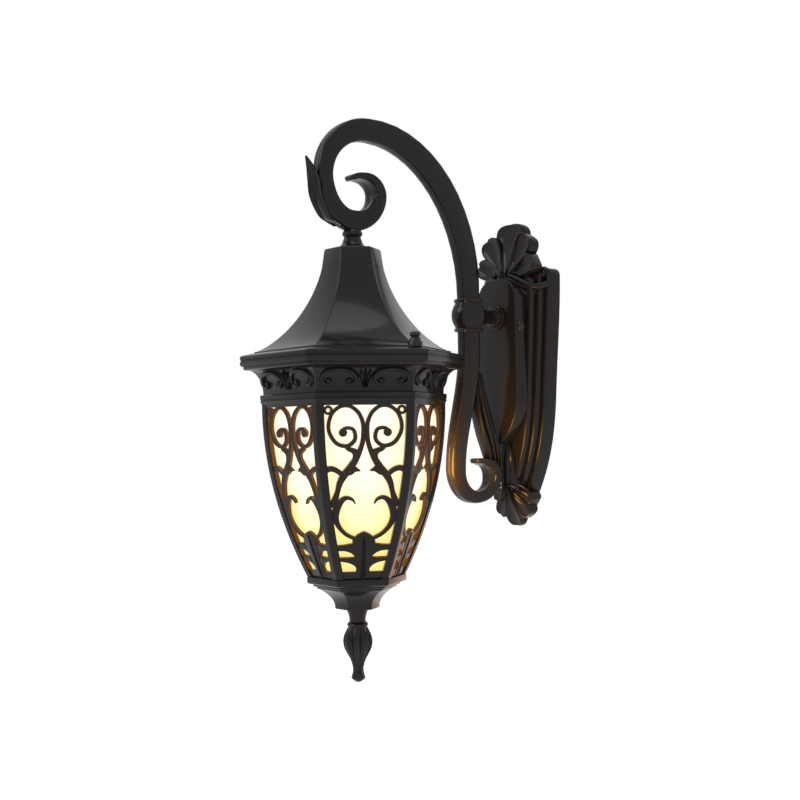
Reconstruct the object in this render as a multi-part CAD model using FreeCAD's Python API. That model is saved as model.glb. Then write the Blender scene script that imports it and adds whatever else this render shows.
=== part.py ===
import FreeCAD, Part
import math
import os

V = FreeCAD.Vector
os.makedirs("parts", exist_ok=True)

# The wall is the plane y = 0, the lamp stands out along -Y, and z is measured from the boss of the arm.

# Wall plate: a shield with a rim, two reeds and a raised panel
plate_half_width = 36.3
plate_top = 43.0
plate_side_end = -70.0
plate_foot = -163.0
plate_foot_half = 7.0
plate_shoulder = 7.0
plate_wall = 4.0
rim_depth = 14.6
reed_width = 6.2
reed_step = 5.0
reed_bevel = 2.2
reed_corner = 4.0
panel_half_width = 17.2
panel_rise = 11.8
panel_top = 34.0
panel_side_end = -72.0
panel_tip = -113.0
panel_bevel = 1.2
panel_corner = 13.0
flank_sides = 5
corner_sides = 3

# Palmette on the plate's top, volutes at its shoulders and shell at its foot
palmette_base = 32.0
palmette_front = 27.0
palmette_sink = 3.0
palmette_length = 51.5
palmette_lobe = 14.0
palmette_spread = 29.0
palmette_curl = 8.0
shell_base = -146.0
shell_front = 22.0
shell_length = 38.5
shell_lobe = 10.0
shell_spread = 36.0
shell_curl = -8.0
lobe_ridge = 1.6
lobe_hollow = 2.6
eye_sides = 6
volute_radius = 7.5
volute_rise = 5.5
volute_strand = 2.2

# Wall bracket and the screws that hold the plate on it
bracket_length = 90.0
bracket_half_width = 11.0
bracket_sheet = 2.0
bracket_slot_spacing = 70.0
bracket_slot_width = 5.0
bracket_slot_length = 9.0
ear_length = 18.0
ear_gap = 0.3
ear_end_gap = 1.0
side_screw_z = -9.0
side_screw_depth = 30.0
side_screw_radius = 2.0
side_screw_past_ear = 2.0
side_head_radius = 3.6
side_head_height = 2.6
side_washer_radius = 5.0
side_washer_height = 1.0

# Boss between plate and arm, and the hollow tubes that carry the wires
boss_length = 23.1
boss_flange_radius = 11.3
boss_flange_height = 3.0
boss_step_radius = 8.8
boss_step_height = 3.2
boss_stub_radius = 6.6
tube_radius = 5.0
tube_bore = 3.4
tube_past_nut = 2.0
fit = 0.1
nut_across_flats = 17.0
nut_height = 6.0
boss_tube_in_knuckle = 9.0
round_sides = 16
small_sides = 8

# Arm: a flat strap in two halves, from the scroll over the lantern down to the hook
arm_half_thickness = 5.5
arm_bevel = 2.0
arm_steps = 2
arch_stations = 5
bend_stations = 3
arm_width = 19.0
arm_top = 156.0
arch_spring = 14.0
arch_crown_in = 16.0
scroll_out = 28.3
scroll_in = 25.3
scroll_side_width = 13.8
scroll_foot_width = 17.0
scroll_foot_sink = 0.5
scroll_curl_width = 8.7
scroll_mid = 106.0
scroll_curl_mid = 93.0
scroll_curl_top = 107.5
scroll_curl_in = 8.0
curl_half_thickness = 8.7
hook_lean = 16.5
hook_mid = -134.0
hook_foot = -162.5
hook_in = 26.2
hook_side_width = 14.0
hook_foot_width = 9.5
hook_curl_width = 5.4
hook_curl_mid = -141.0
hook_curl_top = -127.3
curl_tip_width = 1.2
lean_start = -30.0
channel_half = 2.8
knuckle_radius = 14.5
knuckle_half_height = 11.0
knuckle_half_thickness = 7.5
knuckle_ring_radius = 12.6
knuckle_ring_height = 3.4
leaf_half_thickness = 6.4
bud_leaf_line = [(14.0, 3.0, 1.0), (-0.5, 12.0, 3.4), (-7.3, 25.5, 5.0), (-9.7, 38.5, 4.4),
                 (-12.7, 47.5, 2.8), (-16.7, 55.5, 0.6)]
hook_rib_lines = [
    [(12.0, -20.0, 0.8), (15.0, -40.0, 2.0), (21.5, -62.0, 2.6), (30.0, -86.0, 2.4), (33.0, -100.0, 1.6)],
    [(8.0, -18.0, 1.2), (10.5, -36.0, 3.0), (16.5, -60.0, 4.0), (24.0, -82.0, 3.6), (28.5, -102.0, 2.6)],
    [(5.5, -30.0, 1.2), (7.0, -50.0, 3.0), (12.0, -70.0, 3.6), (18.0, -86.0, 3.4), (21.0, -96.0, 2.2)]]
hook_rib_shares = [0.75, 1.0, 0.85]
arm_screw_radius = 1.5
arm_screw_head = 2.6
arm_screw_head_height = 1.6
arm_screw_end_gap = 2.0

# Lantern: a regular hexagon in plan with a face to the front, sizes given at its corners
reach = 200.0
neck_top = 62.5
neck_height = 15.1
neck_saddle = 1.6
neck_collar_radius = 8.2
neck_waist_radius = 6.4
neck_flange_radius = 11.0
neck_flange_height = 1.6
roof_height = 86.1
roof_top_radius = 23.2
roof_wall = 2.6
roof_plate = 5.0
bell_bands = 9
bell_flare = 1.7
bell_round = 0.6
eave_radius = 91.8
eave_height = 8.5
eave_bevel = 1.0
eave_overhang = 2.8
cap_stud_inset = 14.8
cap_stud_place = eave_radius - cap_stud_inset
cap_stud_radius = 2.0
cap_stud_depth = 4.0
cap_pad_radius = 5.5
cap_pad_rise = 2.2
cap_lug_radius = 5.0
cap_nut_radius = 4.2
cap_nut_height = 7.5
crown_height = 30.3
crown_step_radius = eave_radius - eave_overhang
crown_step_height = 3.0
crown_step_inset = 3.0
crown_cove_top = crown_step_radius - crown_step_inset
crown_cove_foot = 73.4
crown_cove_bands = 3
crown_band_radius = 76.0
crown_band_height = 7.5
crown_band_bevel = 2.4
crown_wall = 3.0
frieze_relief = 2.0
frieze_sink = 1.0
cage_height = 137.1
cage_top_radius = 74.8
cage_foot_radius = 40.4
cage_wall = 6.0
cage_rib = 6.0
cage_top_bar = 2.5
cage_foot_bar = 6.1
cage_floor = 4.0
cage_bands = 3
filigree_recess = 1.0
filigree_thickness = 3.0
filigree_eye = 3.2
shade_gap = 0.8
shade_wall = 2.2
shade_rim = 1.6
shade_rim_height = 1.5
shade_foot_gap = 1.0
cup_radius = 40.4
cup_plate_height = 6.2
cup_plate_bevel = 1.5
cup_step_radius = 33.5
cup_step_height = 3.9
cup_foot_radius = 18.2
cup_height = 26.8
cup_cove = 2.2
cup_wall = 4.0
cup_foot_plate = 6.4
finial_length = 59.1
finial_radius = 12.0
finial_flute = 1.7
finial_lobes = 8
foot_stud_radius = 3.0
foot_stud_in_finial = 12.0
foot_stud_past_nut = 2.0
foot_nut_flats = 10.0
foot_nut_height = 5.0

# Lamp
holder_top = -8.0
holder_entry = 6.0
holder_radius = 19.5
holder_cap_radius = 15.0
holder_cap_height = 20.0
holder_shoulder = 2.0
holder_height = 50.0
holder_bore = 13.4
bulb_base_radius = 13.2
bulb_radius = 19.0
bulb_taper = 16.0
bulb_length = 125.0
bulb_dome = 12.0

# Places that follow from the sizes
panel_front = rim_depth + 2 * reed_step + panel_rise
post_y = -(panel_front + boss_length + knuckle_radius)
roof_top = neck_top - neck_height
eave_top = roof_top - roof_height
eave_foot = eave_top - eave_height
cage_top = eave_foot - crown_height
cage_foot = cage_top - cage_height
cup_foot = cage_foot - cup_height
floor_top = cage_foot + cage_floor
apothem = math.sqrt(3) / 2


def export(name, shape):
    shape.exportStep(os.path.join("parts", name + ".step"))


def join(solids):
    return solids[0].multiFuse(solids[1:]).removeSplitter()


def both_sides(shape):
    return [shape, shape.mirror(V(0, 0, 0), V(1, 0, 0))]


def cylinder(radius, start, end):
    way = end - start
    return Part.makeCylinder(radius, way.Length, start, way)


def flat_face(points):
    return Part.Face(Part.makePolygon(points + points[:1]))


def circle_points(radius, sides):
    turns = [2 * math.pi * k / sides for k in range(sides)]
    return [(radius * math.cos(t), radius * math.sin(t)) for t in turns]


def patch(a, b, c, d):
    """One flat face over four corners, or two where they don't lie in a plane."""
    if abs((b - a).cross(c - a).dot(d - a)) < 1e-6:
        return [flat_face([a, b, c, d])]
    return [flat_face([a, b, c]), flat_face([a, c, d])]


def skin(rings):
    """Closed solid of flat faces through rings with equal numbers of points."""
    faces = [flat_face(rings[0]), flat_face(rings[-1])]
    for low, high in zip(rings, rings[1:]):
        for k in range(len(low)):
            faces += patch(low[k - 1], low[k], high[k], high[k - 1])
    shell = Part.makeShell(faces)
    shell.sewShape()
    solid = Part.makeSolid(shell)
    if solid.Volume < 0:
        solid.reverse()
    return solid


def turned(profile, start, way, sides):
    """A many-sided turned solid: profile is (radius, distance along way from start)."""
    solid = skin([[V(x, y, h) for x, y in circle_points(r, sides)] for r, h in profile])
    solid.Placement = FreeCAD.Placement(start, FreeCAD.Rotation(V(0, 0, 1), way))
    return solid


def rod(radius, start, end, sides):
    way = end - start
    return turned([(radius, 0), (radius, way.Length)], start, way, sides)


def hex_solid(profile):
    """Six-sided solid on the lantern's axis through sections (corner radius, z)."""
    return skin([[V(x, y - reach, z) for x, y in circle_points(r, 6)] for r, z in profile])


def hex_nut(flats, height, start, way, bore):
    corner = flats / math.sqrt(3)
    nut = flat_face([V(x, y, 0) for x, y in circle_points(corner, 6)]).extrude(V(0, 0, height))
    nut = nut.cut(rod(bore, V(0, 0, 0), V(0, 0, height), small_sides))
    nut.Placement = FreeCAD.Placement(start, FreeCAD.Rotation(V(0, 0, 1), way))
    return nut


def tube_nut(start, way):
    return hex_nut(nut_across_flats, nut_height, start, way, tube_radius + fit)


def tube_room(start, end):
    return rod(tube_radius + fit, start, end, small_sides)


def hollow_tube(start, end):
    return rod(tube_radius, start, end, small_sides).cut(rod(tube_bore, start, end, small_sides))


def ribbon(stations, steps):
    """Outline of a tapering strip along a smooth line through stations (across, up, half width)."""
    line = Part.BSplineCurve()
    line.interpolate(Points=[V(*s) for s in stations], Parameters=[float(k) for k in range(len(stations))])
    left, right = [], []
    for k in range((len(stations) - 1) * steps + 1):
        at = line.value(k / steps)
        way = line.tangent(k / steps)[0]
        side = V(-way.y, way.x, 0).normalize() * at.z
        left.append((at.x + side.x, at.y + side.y))
        right.append((at.x - side.x, at.y - side.y))
    return left + right[::-1]


# Wall plate


def shield(half, top, corner, side_end, foot, foot_half, inset, depth):
    """Outline with rounded shoulders, straight sides and a pointed foot, set in all round by inset."""
    bow = ((half - foot_half) ** 2 + (side_end - foot) ** 2) / (2 * (half - foot_half))
    centre = half - bow
    bow -= inset
    half -= inset
    top -= inset
    corner = max(corner - inset, reed_corner)
    turn = math.acos((foot_half - centre) / bow)
    right = []
    for k in range(flank_sides + 1):
        angle = turn * (1 - k / flank_sides)
        right.append((centre + bow * math.cos(angle), side_end - bow * math.sin(angle)))
    for k in range(corner_sides + 1):
        angle = math.pi / 2 * k / corner_sides
        right.append((half - corner + corner * math.cos(angle), top - corner + corner * math.sin(angle)))
    left = [(-x, z) for x, z in right[::-1] if x > fit]
    return [V(x, -depth, z) for x, z in right + left]


def plate_outline(inset, depth):
    return shield(plate_half_width, plate_top, plate_shoulder, plate_side_end, plate_foot,
                  plate_foot_half, inset, depth)


def panel_outline(inset, depth):
    return shield(panel_half_width, panel_top, panel_corner, panel_side_end, panel_tip, 0.0, inset, depth)


def raised(outline, inset, depth, bevel):
    """The outline pulled out from the wall, with its front edge bevelled."""
    rings = [outline(inset, 0.0), outline(inset, depth - bevel)]
    if bevel:
        rings.append(outline(inset + bevel, depth))
    return skin(rings)


def frond(base, angle, back, rows):
    """A fluted leaf that leaves base at an angle from +Z: rows are (length, front, half width)."""
    way = V(math.sin(math.radians(angle)), 0, math.cos(math.radians(angle)))
    across = V(way.z, 0, -way.x)
    rings = []
    for length, front, half in rows:
        section = [(-1.0, back), (-1.0, front - lobe_ridge), (-0.75, front), (0.0, front - lobe_hollow),
                   (0.75, front), (1.0, front - lobe_ridge), (1.0, back)]
        rings.append([base + way * length + across * half * s + V(0, -d, 0) for s, d in section])
    return skin(rings)


def fan(base, way, lobes, back, front, curl):
    """Fronds round a hub: lobes are (angle from the middle one, length, half width)."""
    fronds = []
    for angle, length, half in lobes:
        for side in ((-1, 1) if angle else (1,)):
            fronds.append(frond(base, way + side * angle, back, [
                (0.0, front, half * 0.2), (length * 0.5, front, half * 0.62),
                (length * 0.8, front + curl * 0.2, half), (length * 0.94, front + curl * 0.6, half * 0.9),
                (length, front + curl, half * 0.5)]))
    return fronds


layers = [
    raised(plate_outline, 0, rim_depth, reed_bevel),
    raised(plate_outline, reed_width, rim_depth + reed_step, reed_bevel),
    raised(plate_outline, 2 * reed_width, rim_depth + 2 * reed_step, reed_bevel),
    raised(panel_outline, 0, panel_front, panel_bevel),
]
hollows = [
    raised(plate_outline, plate_wall, rim_depth - plate_wall, 0),
    raised(plate_outline, 2 * reed_width + plate_wall, rim_depth + 2 * reed_step - plate_wall, 0),
    raised(panel_outline, plate_wall, panel_front - plate_wall, 0),
]
palmette_lobes = [
    (0, palmette_length, palmette_lobe),
    (palmette_spread, palmette_length * 0.84, palmette_lobe * 0.68),
    (2 * palmette_spread, palmette_length * 0.68, palmette_lobe * 0.56)]
palmette_back = rim_depth - palmette_sink
palmette = fan(V(0, 0, palmette_base), 0, palmette_lobes, palmette_back, palmette_front, palmette_curl)
shell_lobes = [
    (0, shell_length, shell_lobe),
    (shell_spread, shell_length * 0.82, shell_lobe * 0.75),
    (2 * shell_spread, shell_length * 0.62, shell_lobe * 0.58)]
shell = fan(V(0, 0, shell_base), 180, shell_lobes, 0.0, shell_front, shell_curl)
volute_x = plate_half_width - volute_radius
volute_z = plate_top - volute_radius
volute_line = [
    (panel_half_width / 2, panel_top - volute_strand, volute_strand * 0.75),
    (panel_half_width, volute_z - volute_radius * 1.2, volute_strand),
    (volute_x, volute_z - volute_radius, volute_strand),
    (volute_x + volute_radius * 0.8, volute_z, volute_strand * 0.8),
    (volute_x, volute_z + volute_radius * 0.8, volute_strand * 0.65),
    (volute_x - volute_radius * 0.7, volute_z, volute_strand * 0.55)]
strand = flat_face([V(x, -rim_depth / 2, z) for x, z in ribbon(volute_line, 2)])
strand = strand.extrude(V(0, -rim_depth / 2 - volute_rise * 1.5, 0))
eye = rod(volute_radius * 0.42, V(volute_x, -rim_depth / 2, volute_z),
          V(volute_x, -rim_depth - volute_rise, volute_z), small_sides)
side_x = panel_half_width + side_washer_height + side_head_height
side_holes = rod(side_screw_radius + fit, V(-side_x, -side_screw_depth, side_screw_z),
                 V(side_x, -side_screw_depth, side_screw_z), small_sides)
boss_tube_end = post_y + knuckle_radius - boss_tube_in_knuckle
boss_tube_room = tube_room(V(0, 0, 0), V(0, boss_tube_end, 0))
plate = join(layers + palmette + shell + both_sides(strand) + both_sides(eye))
export("back_plate", plate.cut(Part.makeCompound(hollows)).cut(boss_tube_room).cut(side_holes))

# Wall bracket: a strip with two slots and two ears that reach into the panel

strip = Part.makeBox(2 * bracket_half_width, bracket_sheet, bracket_length,
                     V(-bracket_half_width, -bracket_sheet, side_screw_z - bracket_length / 2))
ear_x = panel_half_width - plate_wall - ear_gap
ear_depth = panel_front - plate_wall - ear_end_gap
ear_foot = side_screw_z - ear_length / 2
ear = Part.makeBox(bracket_sheet, ear_depth, ear_length, V(ear_x - bracket_sheet, -ear_depth, ear_foot))
ear_web = Part.makeBox(ear_x, bracket_sheet, ear_length, V(0, -bracket_sheet, ear_foot))
slots = []
for side in (-1, 1):
    slot_z = side_screw_z + side * bracket_slot_spacing / 2
    half_run = (bracket_slot_length - bracket_slot_width) / 2
    for end in (V(0, 0, slot_z - half_run), V(0, 0, slot_z + half_run)):
        slots.append(cylinder(bracket_slot_width / 2, end, end + V(0, -bracket_sheet, 0)))
    slots.append(Part.makeBox(bracket_slot_width, bracket_sheet, 2 * half_run,
                              V(-bracket_slot_width / 2, -bracket_sheet, slot_z - half_run)))
bracket = join([strip] + both_sides(ear) + both_sides(ear_web))
export("wall_bracket", bracket.cut(Part.makeCompound(slots)).cut(side_holes))

# Side screws: dome heads and washers on the panel's flanks, shanks through its wall into the ears

shank = panel_half_width - ear_x + bracket_sheet + side_screw_past_ear
head_top = side_washer_height + side_head_height
side_screw = [(side_screw_radius, -shank), (side_screw_radius, 0), (side_washer_radius, 0),
              (side_washer_radius, side_washer_height), (side_head_radius, side_washer_height),
              (side_head_radius * 0.85, side_washer_height + side_head_height * 0.6),
              (side_head_radius * 0.45, head_top)]
screws = [turned(side_screw, V(side * panel_half_width, -side_screw_depth, side_screw_z),
                 V(side, 0, 0), small_sides) for side in (-1, 1)]
export("side_screws", Part.makeCompound(screws))

# Arm: half widths along a centre line made of quarter ellipses, drawn in the y-z plane


def quarter(start, end, upright, count):
    """Stations of a quarter ellipse that leaves start upright or level and arrives the other way."""
    stations = []
    for k in range(count):
        turn = math.pi / 2 * k / count
        rise, run = math.sin(turn), 1 - math.cos(turn)
        y_share, z_share = (run, rise) if upright else (rise, run)
        stations.append((start[0] + (end[0] - start[0]) * y_share, start[1] + (end[1] - start[1]) * z_share,
                         start[2] + (end[2] - start[2]) * k / count))
    return stations


def chain(knots, first_count):
    """Stations through knots (y, z, half width) that are upright and level by turns."""
    stations = []
    for k, (start, end) in enumerate(zip(knots, knots[1:])):
        stations += quarter(start, end, k % 2 == 0, bend_stations if k else first_count)
    return stations + [knots[-1]]


half_width = arm_width / 2
scroll_knots = [
    (post_y, arch_spring, half_width), (-reach + arch_crown_in, arm_top - half_width, half_width),
    (-reach - scroll_out, scroll_mid, scroll_side_width / 2),
    (-reach, neck_top + scroll_foot_width / 2 - scroll_foot_sink, scroll_foot_width / 2),
    (-reach + scroll_in, scroll_curl_mid, scroll_curl_width / 2),
    (-reach + scroll_curl_in, scroll_curl_top, scroll_curl_width / 4)]
hook_knots = [
    (post_y - hook_lean, hook_mid, hook_side_width / 2),
    (post_y + hook_in / 6, hook_foot + hook_foot_width / 2, hook_foot_width / 2),
    (post_y + hook_in, hook_curl_mid, hook_curl_width / 2),
    (post_y + hook_in / 2, hook_curl_top, hook_curl_width / 3)]
lean = []
for share in (0.0, 0.25, 0.5, 0.75):
    ease = share * share * (3 - 2 * share)
    lean.append((post_y - hook_lean * ease, lean_start + (hook_mid - lean_start) * share,
                 half_width + (hook_side_width / 2 - half_width) * share))
scroll_tip = (-reach - scroll_curl_in * 1.2, scroll_curl_top - scroll_curl_in / 2, curl_tip_width / 2)
hook_tip = (post_y - hook_in * 0.14, hook_curl_top + hook_in * 0.04, curl_tip_width / 2)
scroll_line = chain(scroll_knots, arch_stations) + [scroll_tip]
hook_line = chain(hook_knots, bend_stations) + [hook_tip]
arm_line = scroll_line[::-1] + lean + hook_line


def strap(stations, thickness, steps):
    """Right half of a bevelled strap."""
    rings = []
    for x, shrink in ((0, 0), (thickness - arm_bevel, 0), (thickness, arm_bevel)):
        narrowed = [(y, z, max(width - shrink, curl_tip_width / 4)) for y, z, width in stations]
        rings.append([V(x, y, z) for y, z in ribbon(narrowed, steps)])
    return skin(rings)


def flare(stations, y_from, y_to, z_low, z_high):
    """Curl end of the strap, thicker towards y_to."""
    curl = strap([(y, z, width * 0.9) for y, z, width in stations], curl_half_thickness, 1)
    wedge = flat_face([V(0, y_from, z_low), V(arm_half_thickness - arm_bevel, y_from, z_low),
                       V(curl_half_thickness, y_to, z_low), V(0, y_to, z_low)])
    return curl.common(wedge.extrude(V(0, 0, z_high - z_low)))


def leaf(y, z, line, thickness):
    """Right half of a leaf or rib: line gives (y, z, half width) from the point y, z."""
    outline = ribbon([(y + across, z + up, half) for across, up, half in line], 1)
    return flat_face([V(0, *point) for point in outline]).extrude(V(thickness, 0, 0))


bud_leaf = leaf(-reach - scroll_out, neck_top, bud_leaf_line, leaf_half_thickness)
hook_leaf = [leaf(post_y, lean_start, line, leaf_half_thickness * share)
             for line, share in zip(hook_rib_lines, hook_rib_shares)]
ring_end = knuckle_half_height + knuckle_ring_height
knuckle = turned([
    (knuckle_ring_radius, -ring_end), (knuckle_ring_radius, -knuckle_half_height),
    (knuckle_radius * 0.8, -knuckle_half_height), (knuckle_radius, -knuckle_half_height * 0.4),
    (knuckle_radius, knuckle_half_height * 0.4), (knuckle_radius * 0.8, knuckle_half_height),
    (knuckle_ring_radius, knuckle_half_height), (knuckle_ring_radius, ring_end)],
    V(0, post_y, 0), V(0, 0, 1), round_sides)
right_side = Part.makeBox(knuckle_half_thickness, 2 * knuckle_radius, 2 * ring_end,
                          V(0, post_y - knuckle_radius, -ring_end))
right_half = join([
    strap(arm_line, arm_half_thickness, arm_steps), knuckle.common(right_side), bud_leaf, *hook_leaf,
    flare(scroll_line[arch_stations + 2 * bend_stations:], -reach - scroll_curl_in * 0.75,
          -reach + scroll_in + scroll_curl_width, neck_top, scroll_curl_top + scroll_curl_width),
    flare(hook_line[bend_stations:], post_y, post_y + hook_in + hook_curl_width,
          hook_foot, hook_curl_top + hook_curl_width)])
left_half = right_half.mirror(V(0, 0, 0), V(1, 0, 0))
hanger_top = neck_top + scroll_foot_width * 0.6
hanger_room = tube_room(V(0, -reach, 0), V(0, -reach, hanger_top))
channel_line = [(y, z, channel_half) for y, z, w in chain(scroll_knots[:4], arch_stations)]
channel = flat_face([V(-channel_half, y, z) for y, z in ribbon(channel_line, 1)])
channel = channel.extrude(V(2 * channel_half, 0, 0))
feed = Part.makeBox(2 * channel_half, boss_tube_end - post_y, arch_spring + channel_half,
                    V(-channel_half, post_y, -channel_half))
inside = Part.makeCompound([channel, boss_tube_room, hanger_room, feed])
screw_spots = [V(-arm_half_thickness, *scroll_line[k][:2]) for k in (arch_stations // 2, arch_stations + 2)]
screw_spots.append(V(-arm_half_thickness, *lean[2][:2]))
screw_length = V(2 * arm_half_thickness - arm_screw_end_gap, 0, 0)
head_height = V(arm_screw_head_height, 0, 0)
screw_holes = Part.makeCompound([
    rod(arm_screw_radius + fit, p, p + screw_length, small_sides) for p in screw_spots])
head_holes = Part.makeCompound([
    rod(arm_screw_head + fit, p, p + head_height, small_sides) for p in screw_spots])
right_half = right_half.cut(inside).cut(screw_holes)
left_half = left_half.cut(inside).cut(screw_holes).cut(head_holes)
export("arm_right_half", right_half)
export("arm_left_half", left_half)
arm_screw = [(arm_screw_head, 0), (arm_screw_head, arm_screw_head_height),
             (arm_screw_radius, arm_screw_head_height), (arm_screw_radius, screw_length.x)]
arm_screw_set = [turned(arm_screw, p, V(1, 0, 0), small_sides) for p in screw_spots]
export("arm_screws", Part.makeCompound(arm_screw_set))

# Boss: stepped rosette and stub, on a hollow bolt through plate and knuckle

boss = turned([
    (boss_flange_radius, 0), (boss_flange_radius, boss_flange_height * 0.6),
    (boss_flange_radius * 0.9, boss_flange_height), (boss_step_radius, boss_flange_height),
    (boss_step_radius, boss_flange_height + boss_step_height * 0.6),
    (boss_stub_radius, boss_flange_height + boss_step_height),
    (boss_stub_radius, boss_length + knuckle_radius)], V(0, -panel_front, 0), V(0, -1, 0), round_sides)
boss = boss.cut(knuckle).cut(boss_tube_room)
export("arm_boss", max(boss.Solids, key=lambda s: s.BoundBox.YMax))
panel_inside = -panel_front + plate_wall
boss_tube_start = panel_inside + nut_height + tube_past_nut
export("boss_bolt", hollow_tube(V(0, boss_tube_start, 0), V(0, boss_tube_end, 0)))
export("boss_nut", tube_nut(V(0, panel_inside, 0), V(0, 1, 0)))

# Neck between the scroll and the roof, with a saddle that takes the strap

neck = turned([
    (neck_flange_radius, 0), (neck_flange_radius, neck_flange_height),
    (neck_waist_radius * 1.15, neck_height * 0.29), (neck_waist_radius, neck_height * 0.55),
    (neck_waist_radius * 1.12, neck_height * 0.72), (neck_collar_radius, neck_height * 0.8),
    (neck_collar_radius, neck_height + neck_saddle)], V(0, -reach, roof_top), V(0, 0, 1), round_sides)
neck = neck.cut(hanger_room).cut(right_half).cut(left_half)
export("neck", min(neck.Solids, key=lambda s: s.BoundBox.ZMin))

# Roof: a six-sided bell with an eave, and pads for the cap nuts on two of its ridges


def bell(share):
    """Corner radius of the roof at a share of its height below the top."""
    return roof_top_radius + (eave_radius - roof_top_radius) * (1 - (1 - share ** bell_flare) ** bell_round)


def bell_share(radius):
    """The share of the roof's height at which its corner has this radius."""
    grown = (radius - roof_top_radius) / (eave_radius - roof_top_radius)
    return (1 - (1 - grown) ** (1 / bell_round)) ** (1 / bell_flare)


bell_shares = [math.sin(math.pi / 2 * k / bell_bands) for k in range(bell_bands + 1)]
roof_outside = [(bell(s), roof_top - roof_height * s) for s in bell_shares]
roof_outside += [(eave_radius, eave_foot + eave_bevel), (eave_radius - eave_bevel, eave_foot)]
roof_room = [(bell(s) - roof_wall, roof_top - roof_height * s - roof_wall) for s in bell_shares]
roof_room = [(r, z) for r, z in roof_room if z < roof_top - roof_plate]
roof_room = [(roof_room[0][0], roof_top - roof_plate)] + roof_room
roof_room.append((eave_radius - roof_wall, eave_foot))
pad_top = roof_top - roof_height * bell_share(cap_stud_place) + cap_pad_rise
stud_foot = eave_foot - cap_stud_depth
stud_spots = [V(side * cap_stud_place, -reach, 0) for side in (-1, 1)]
stud_top = pad_top + cap_nut_height * 0.6


def at_studs(radius, foot, top):
    return [rod(radius, p + V(0, 0, foot), p + V(0, 0, top), small_sides) for p in stud_spots]


pads = at_studs(cap_pad_radius, eave_top, pad_top)
stud_holes = Part.makeCompound(at_studs(cap_stud_radius + fit, stud_foot, stud_top))
roof = join([hex_solid(roof_outside)] + pads)
export("roof", roof.cut(hex_solid(roof_room)).cut(hanger_room).cut(stud_holes))

# Cap nuts on the eave and their studs

export("cap_studs", Part.makeCompound(at_studs(cap_stud_radius, stud_foot, stud_top)))
cap_nut = [(cap_nut_radius, 0), (cap_nut_radius, cap_nut_height * 0.35),
           (cap_nut_radius * 0.72, cap_nut_height * 0.45), (cap_nut_radius, cap_nut_height * 0.6),
           (cap_nut_radius * 0.85, cap_nut_height * 0.85), (cap_nut_radius * 0.4, cap_nut_height)]
nuts = [turned(cap_nut, p + V(0, 0, pad_top), V(0, 0, 1), small_sides).cut(stud_holes) for p in stud_spots]
export("cap_nuts", Part.makeCompound(nuts))

# Lantern body: one casting with a crown, six pierced sides, corner ribs and a floor


def cage_corner(z):
    share = (cage_top - z) / cage_height
    return cage_top_radius - (cage_top_radius - cage_foot_radius) * share ** 2


def levels(top, foot, count):
    return [top + (foot - top) * k / count for k in range(count + 1)]


cove_top = eave_foot - crown_step_height
cove_foot = cage_top + crown_band_height


def cove_corner(z):
    share = (cove_top - z) / (cove_top - cove_foot)
    return crown_cove_foot + (crown_cove_top - crown_cove_foot) * (1 - math.sqrt(1 - (1 - share) ** 2))


cove_levels = levels(cove_top, cove_foot, crown_cove_bands)
cage_levels = levels(cage_top, cage_foot, cage_bands)
body_outside = [(crown_step_radius, eave_foot), (crown_step_radius, cove_top)]
body_outside += [(cove_corner(z), z) for z in cove_levels]
body_outside += [(crown_band_radius, cove_foot), (crown_band_radius, cage_top + crown_band_bevel)]
body_outside += [(cage_corner(z), z) for z in cage_levels]
rim_room = cage_top_radius - cage_wall + shade_rim + fit
body_room = [(cove_corner(cove_top) - crown_wall, eave_foot)]
body_room += [(max(cove_corner(z) - crown_wall, rim_room), z) for z in cove_levels]
body_room.append((rim_room, cage_top))
body_room += [(cage_corner(z) - cage_wall, z) for z in levels(cage_top, floor_top, cage_bands)]

window_top = cage_top - cage_top_bar
window_foot = cage_foot + cage_foot_bar


def on_panel(across, down):
    """Point of a side in its own plane: shares of the window's half width and of its height."""
    z = window_top + (window_foot - window_top) * down
    return ((cage_corner(z) / 2 - cage_rib) * across, z)


def on_frieze(across, down):
    """Point of a crown side in its own plane: shares of its half width and of the cove's height."""
    return (crown_cove_foot / 2 * across, cove_top + (cove_foot - cove_top) * down)


def disc(centre, radius):
    return [(centre[0] + x, centre[1] + y) for x, y in circle_points(radius, eye_sides)]


stem = [(-0.955, 0.568, 2.0), (-0.5, 0.391, 2.3), (-0.17, 0.25, 1.5), (-0.05, 0.14, 1.3),
        (-0.17, 0.042, 1.1), (-0.5, 0.002, 1.1), (-0.83, 0.06, 1.1), (-0.86, 0.165, 1.1),
        (-0.56, 0.246, 1.2), (-0.25, 0.2, 1.2), (-0.34, 0.138, 1.2), (-0.5, 0.148, 1.1)]
side_scroll = [(-0.3, 0.578, 0.7), (-0.46, 0.541, 1.2), (-0.75, 0.56, 1.8), (-0.9, 0.66, 2.1),
               (-0.7, 0.758, 1.4), (-0.28, 0.802, 1.3)]
side_curl = [(-0.61, 0.405, 1.2), (-0.78, 0.358, 1.2), (-1.06, 0.37, 1.2)]
thorn = [(-0.33, 0.32), (-0.145, 0.389), (-0.347, 0.391), (-0.527, 0.42)]
bud = [(0.0, 0.763), (-0.224, 0.775), (-0.42, 0.82), (-0.258, 0.88), (-0.305, 1.02), (0.0, 1.02)]
upper_leaflet = [(-1.06, 0.833), (-0.345, 0.837), (-0.2, 0.92), (-1.06, 0.861)]
lower_leaflet = [(-1.06, 0.921), (-0.2, 0.928), (-0.2, 0.985), (-1.06, 0.953)]
strokes = [stem, side_scroll, side_curl]
blades = [thorn, bud, upper_leaflet, lower_leaflet]
filigree = [ribbon([(*on_panel(a, d), w) for a, d, w in line], 1) for line in strokes]
filigree += [[on_panel(a, d) for a, d in shape] for shape in blades]
filigree.append(disc(on_panel(-0.553, 0.163), filigree_eye))

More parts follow.
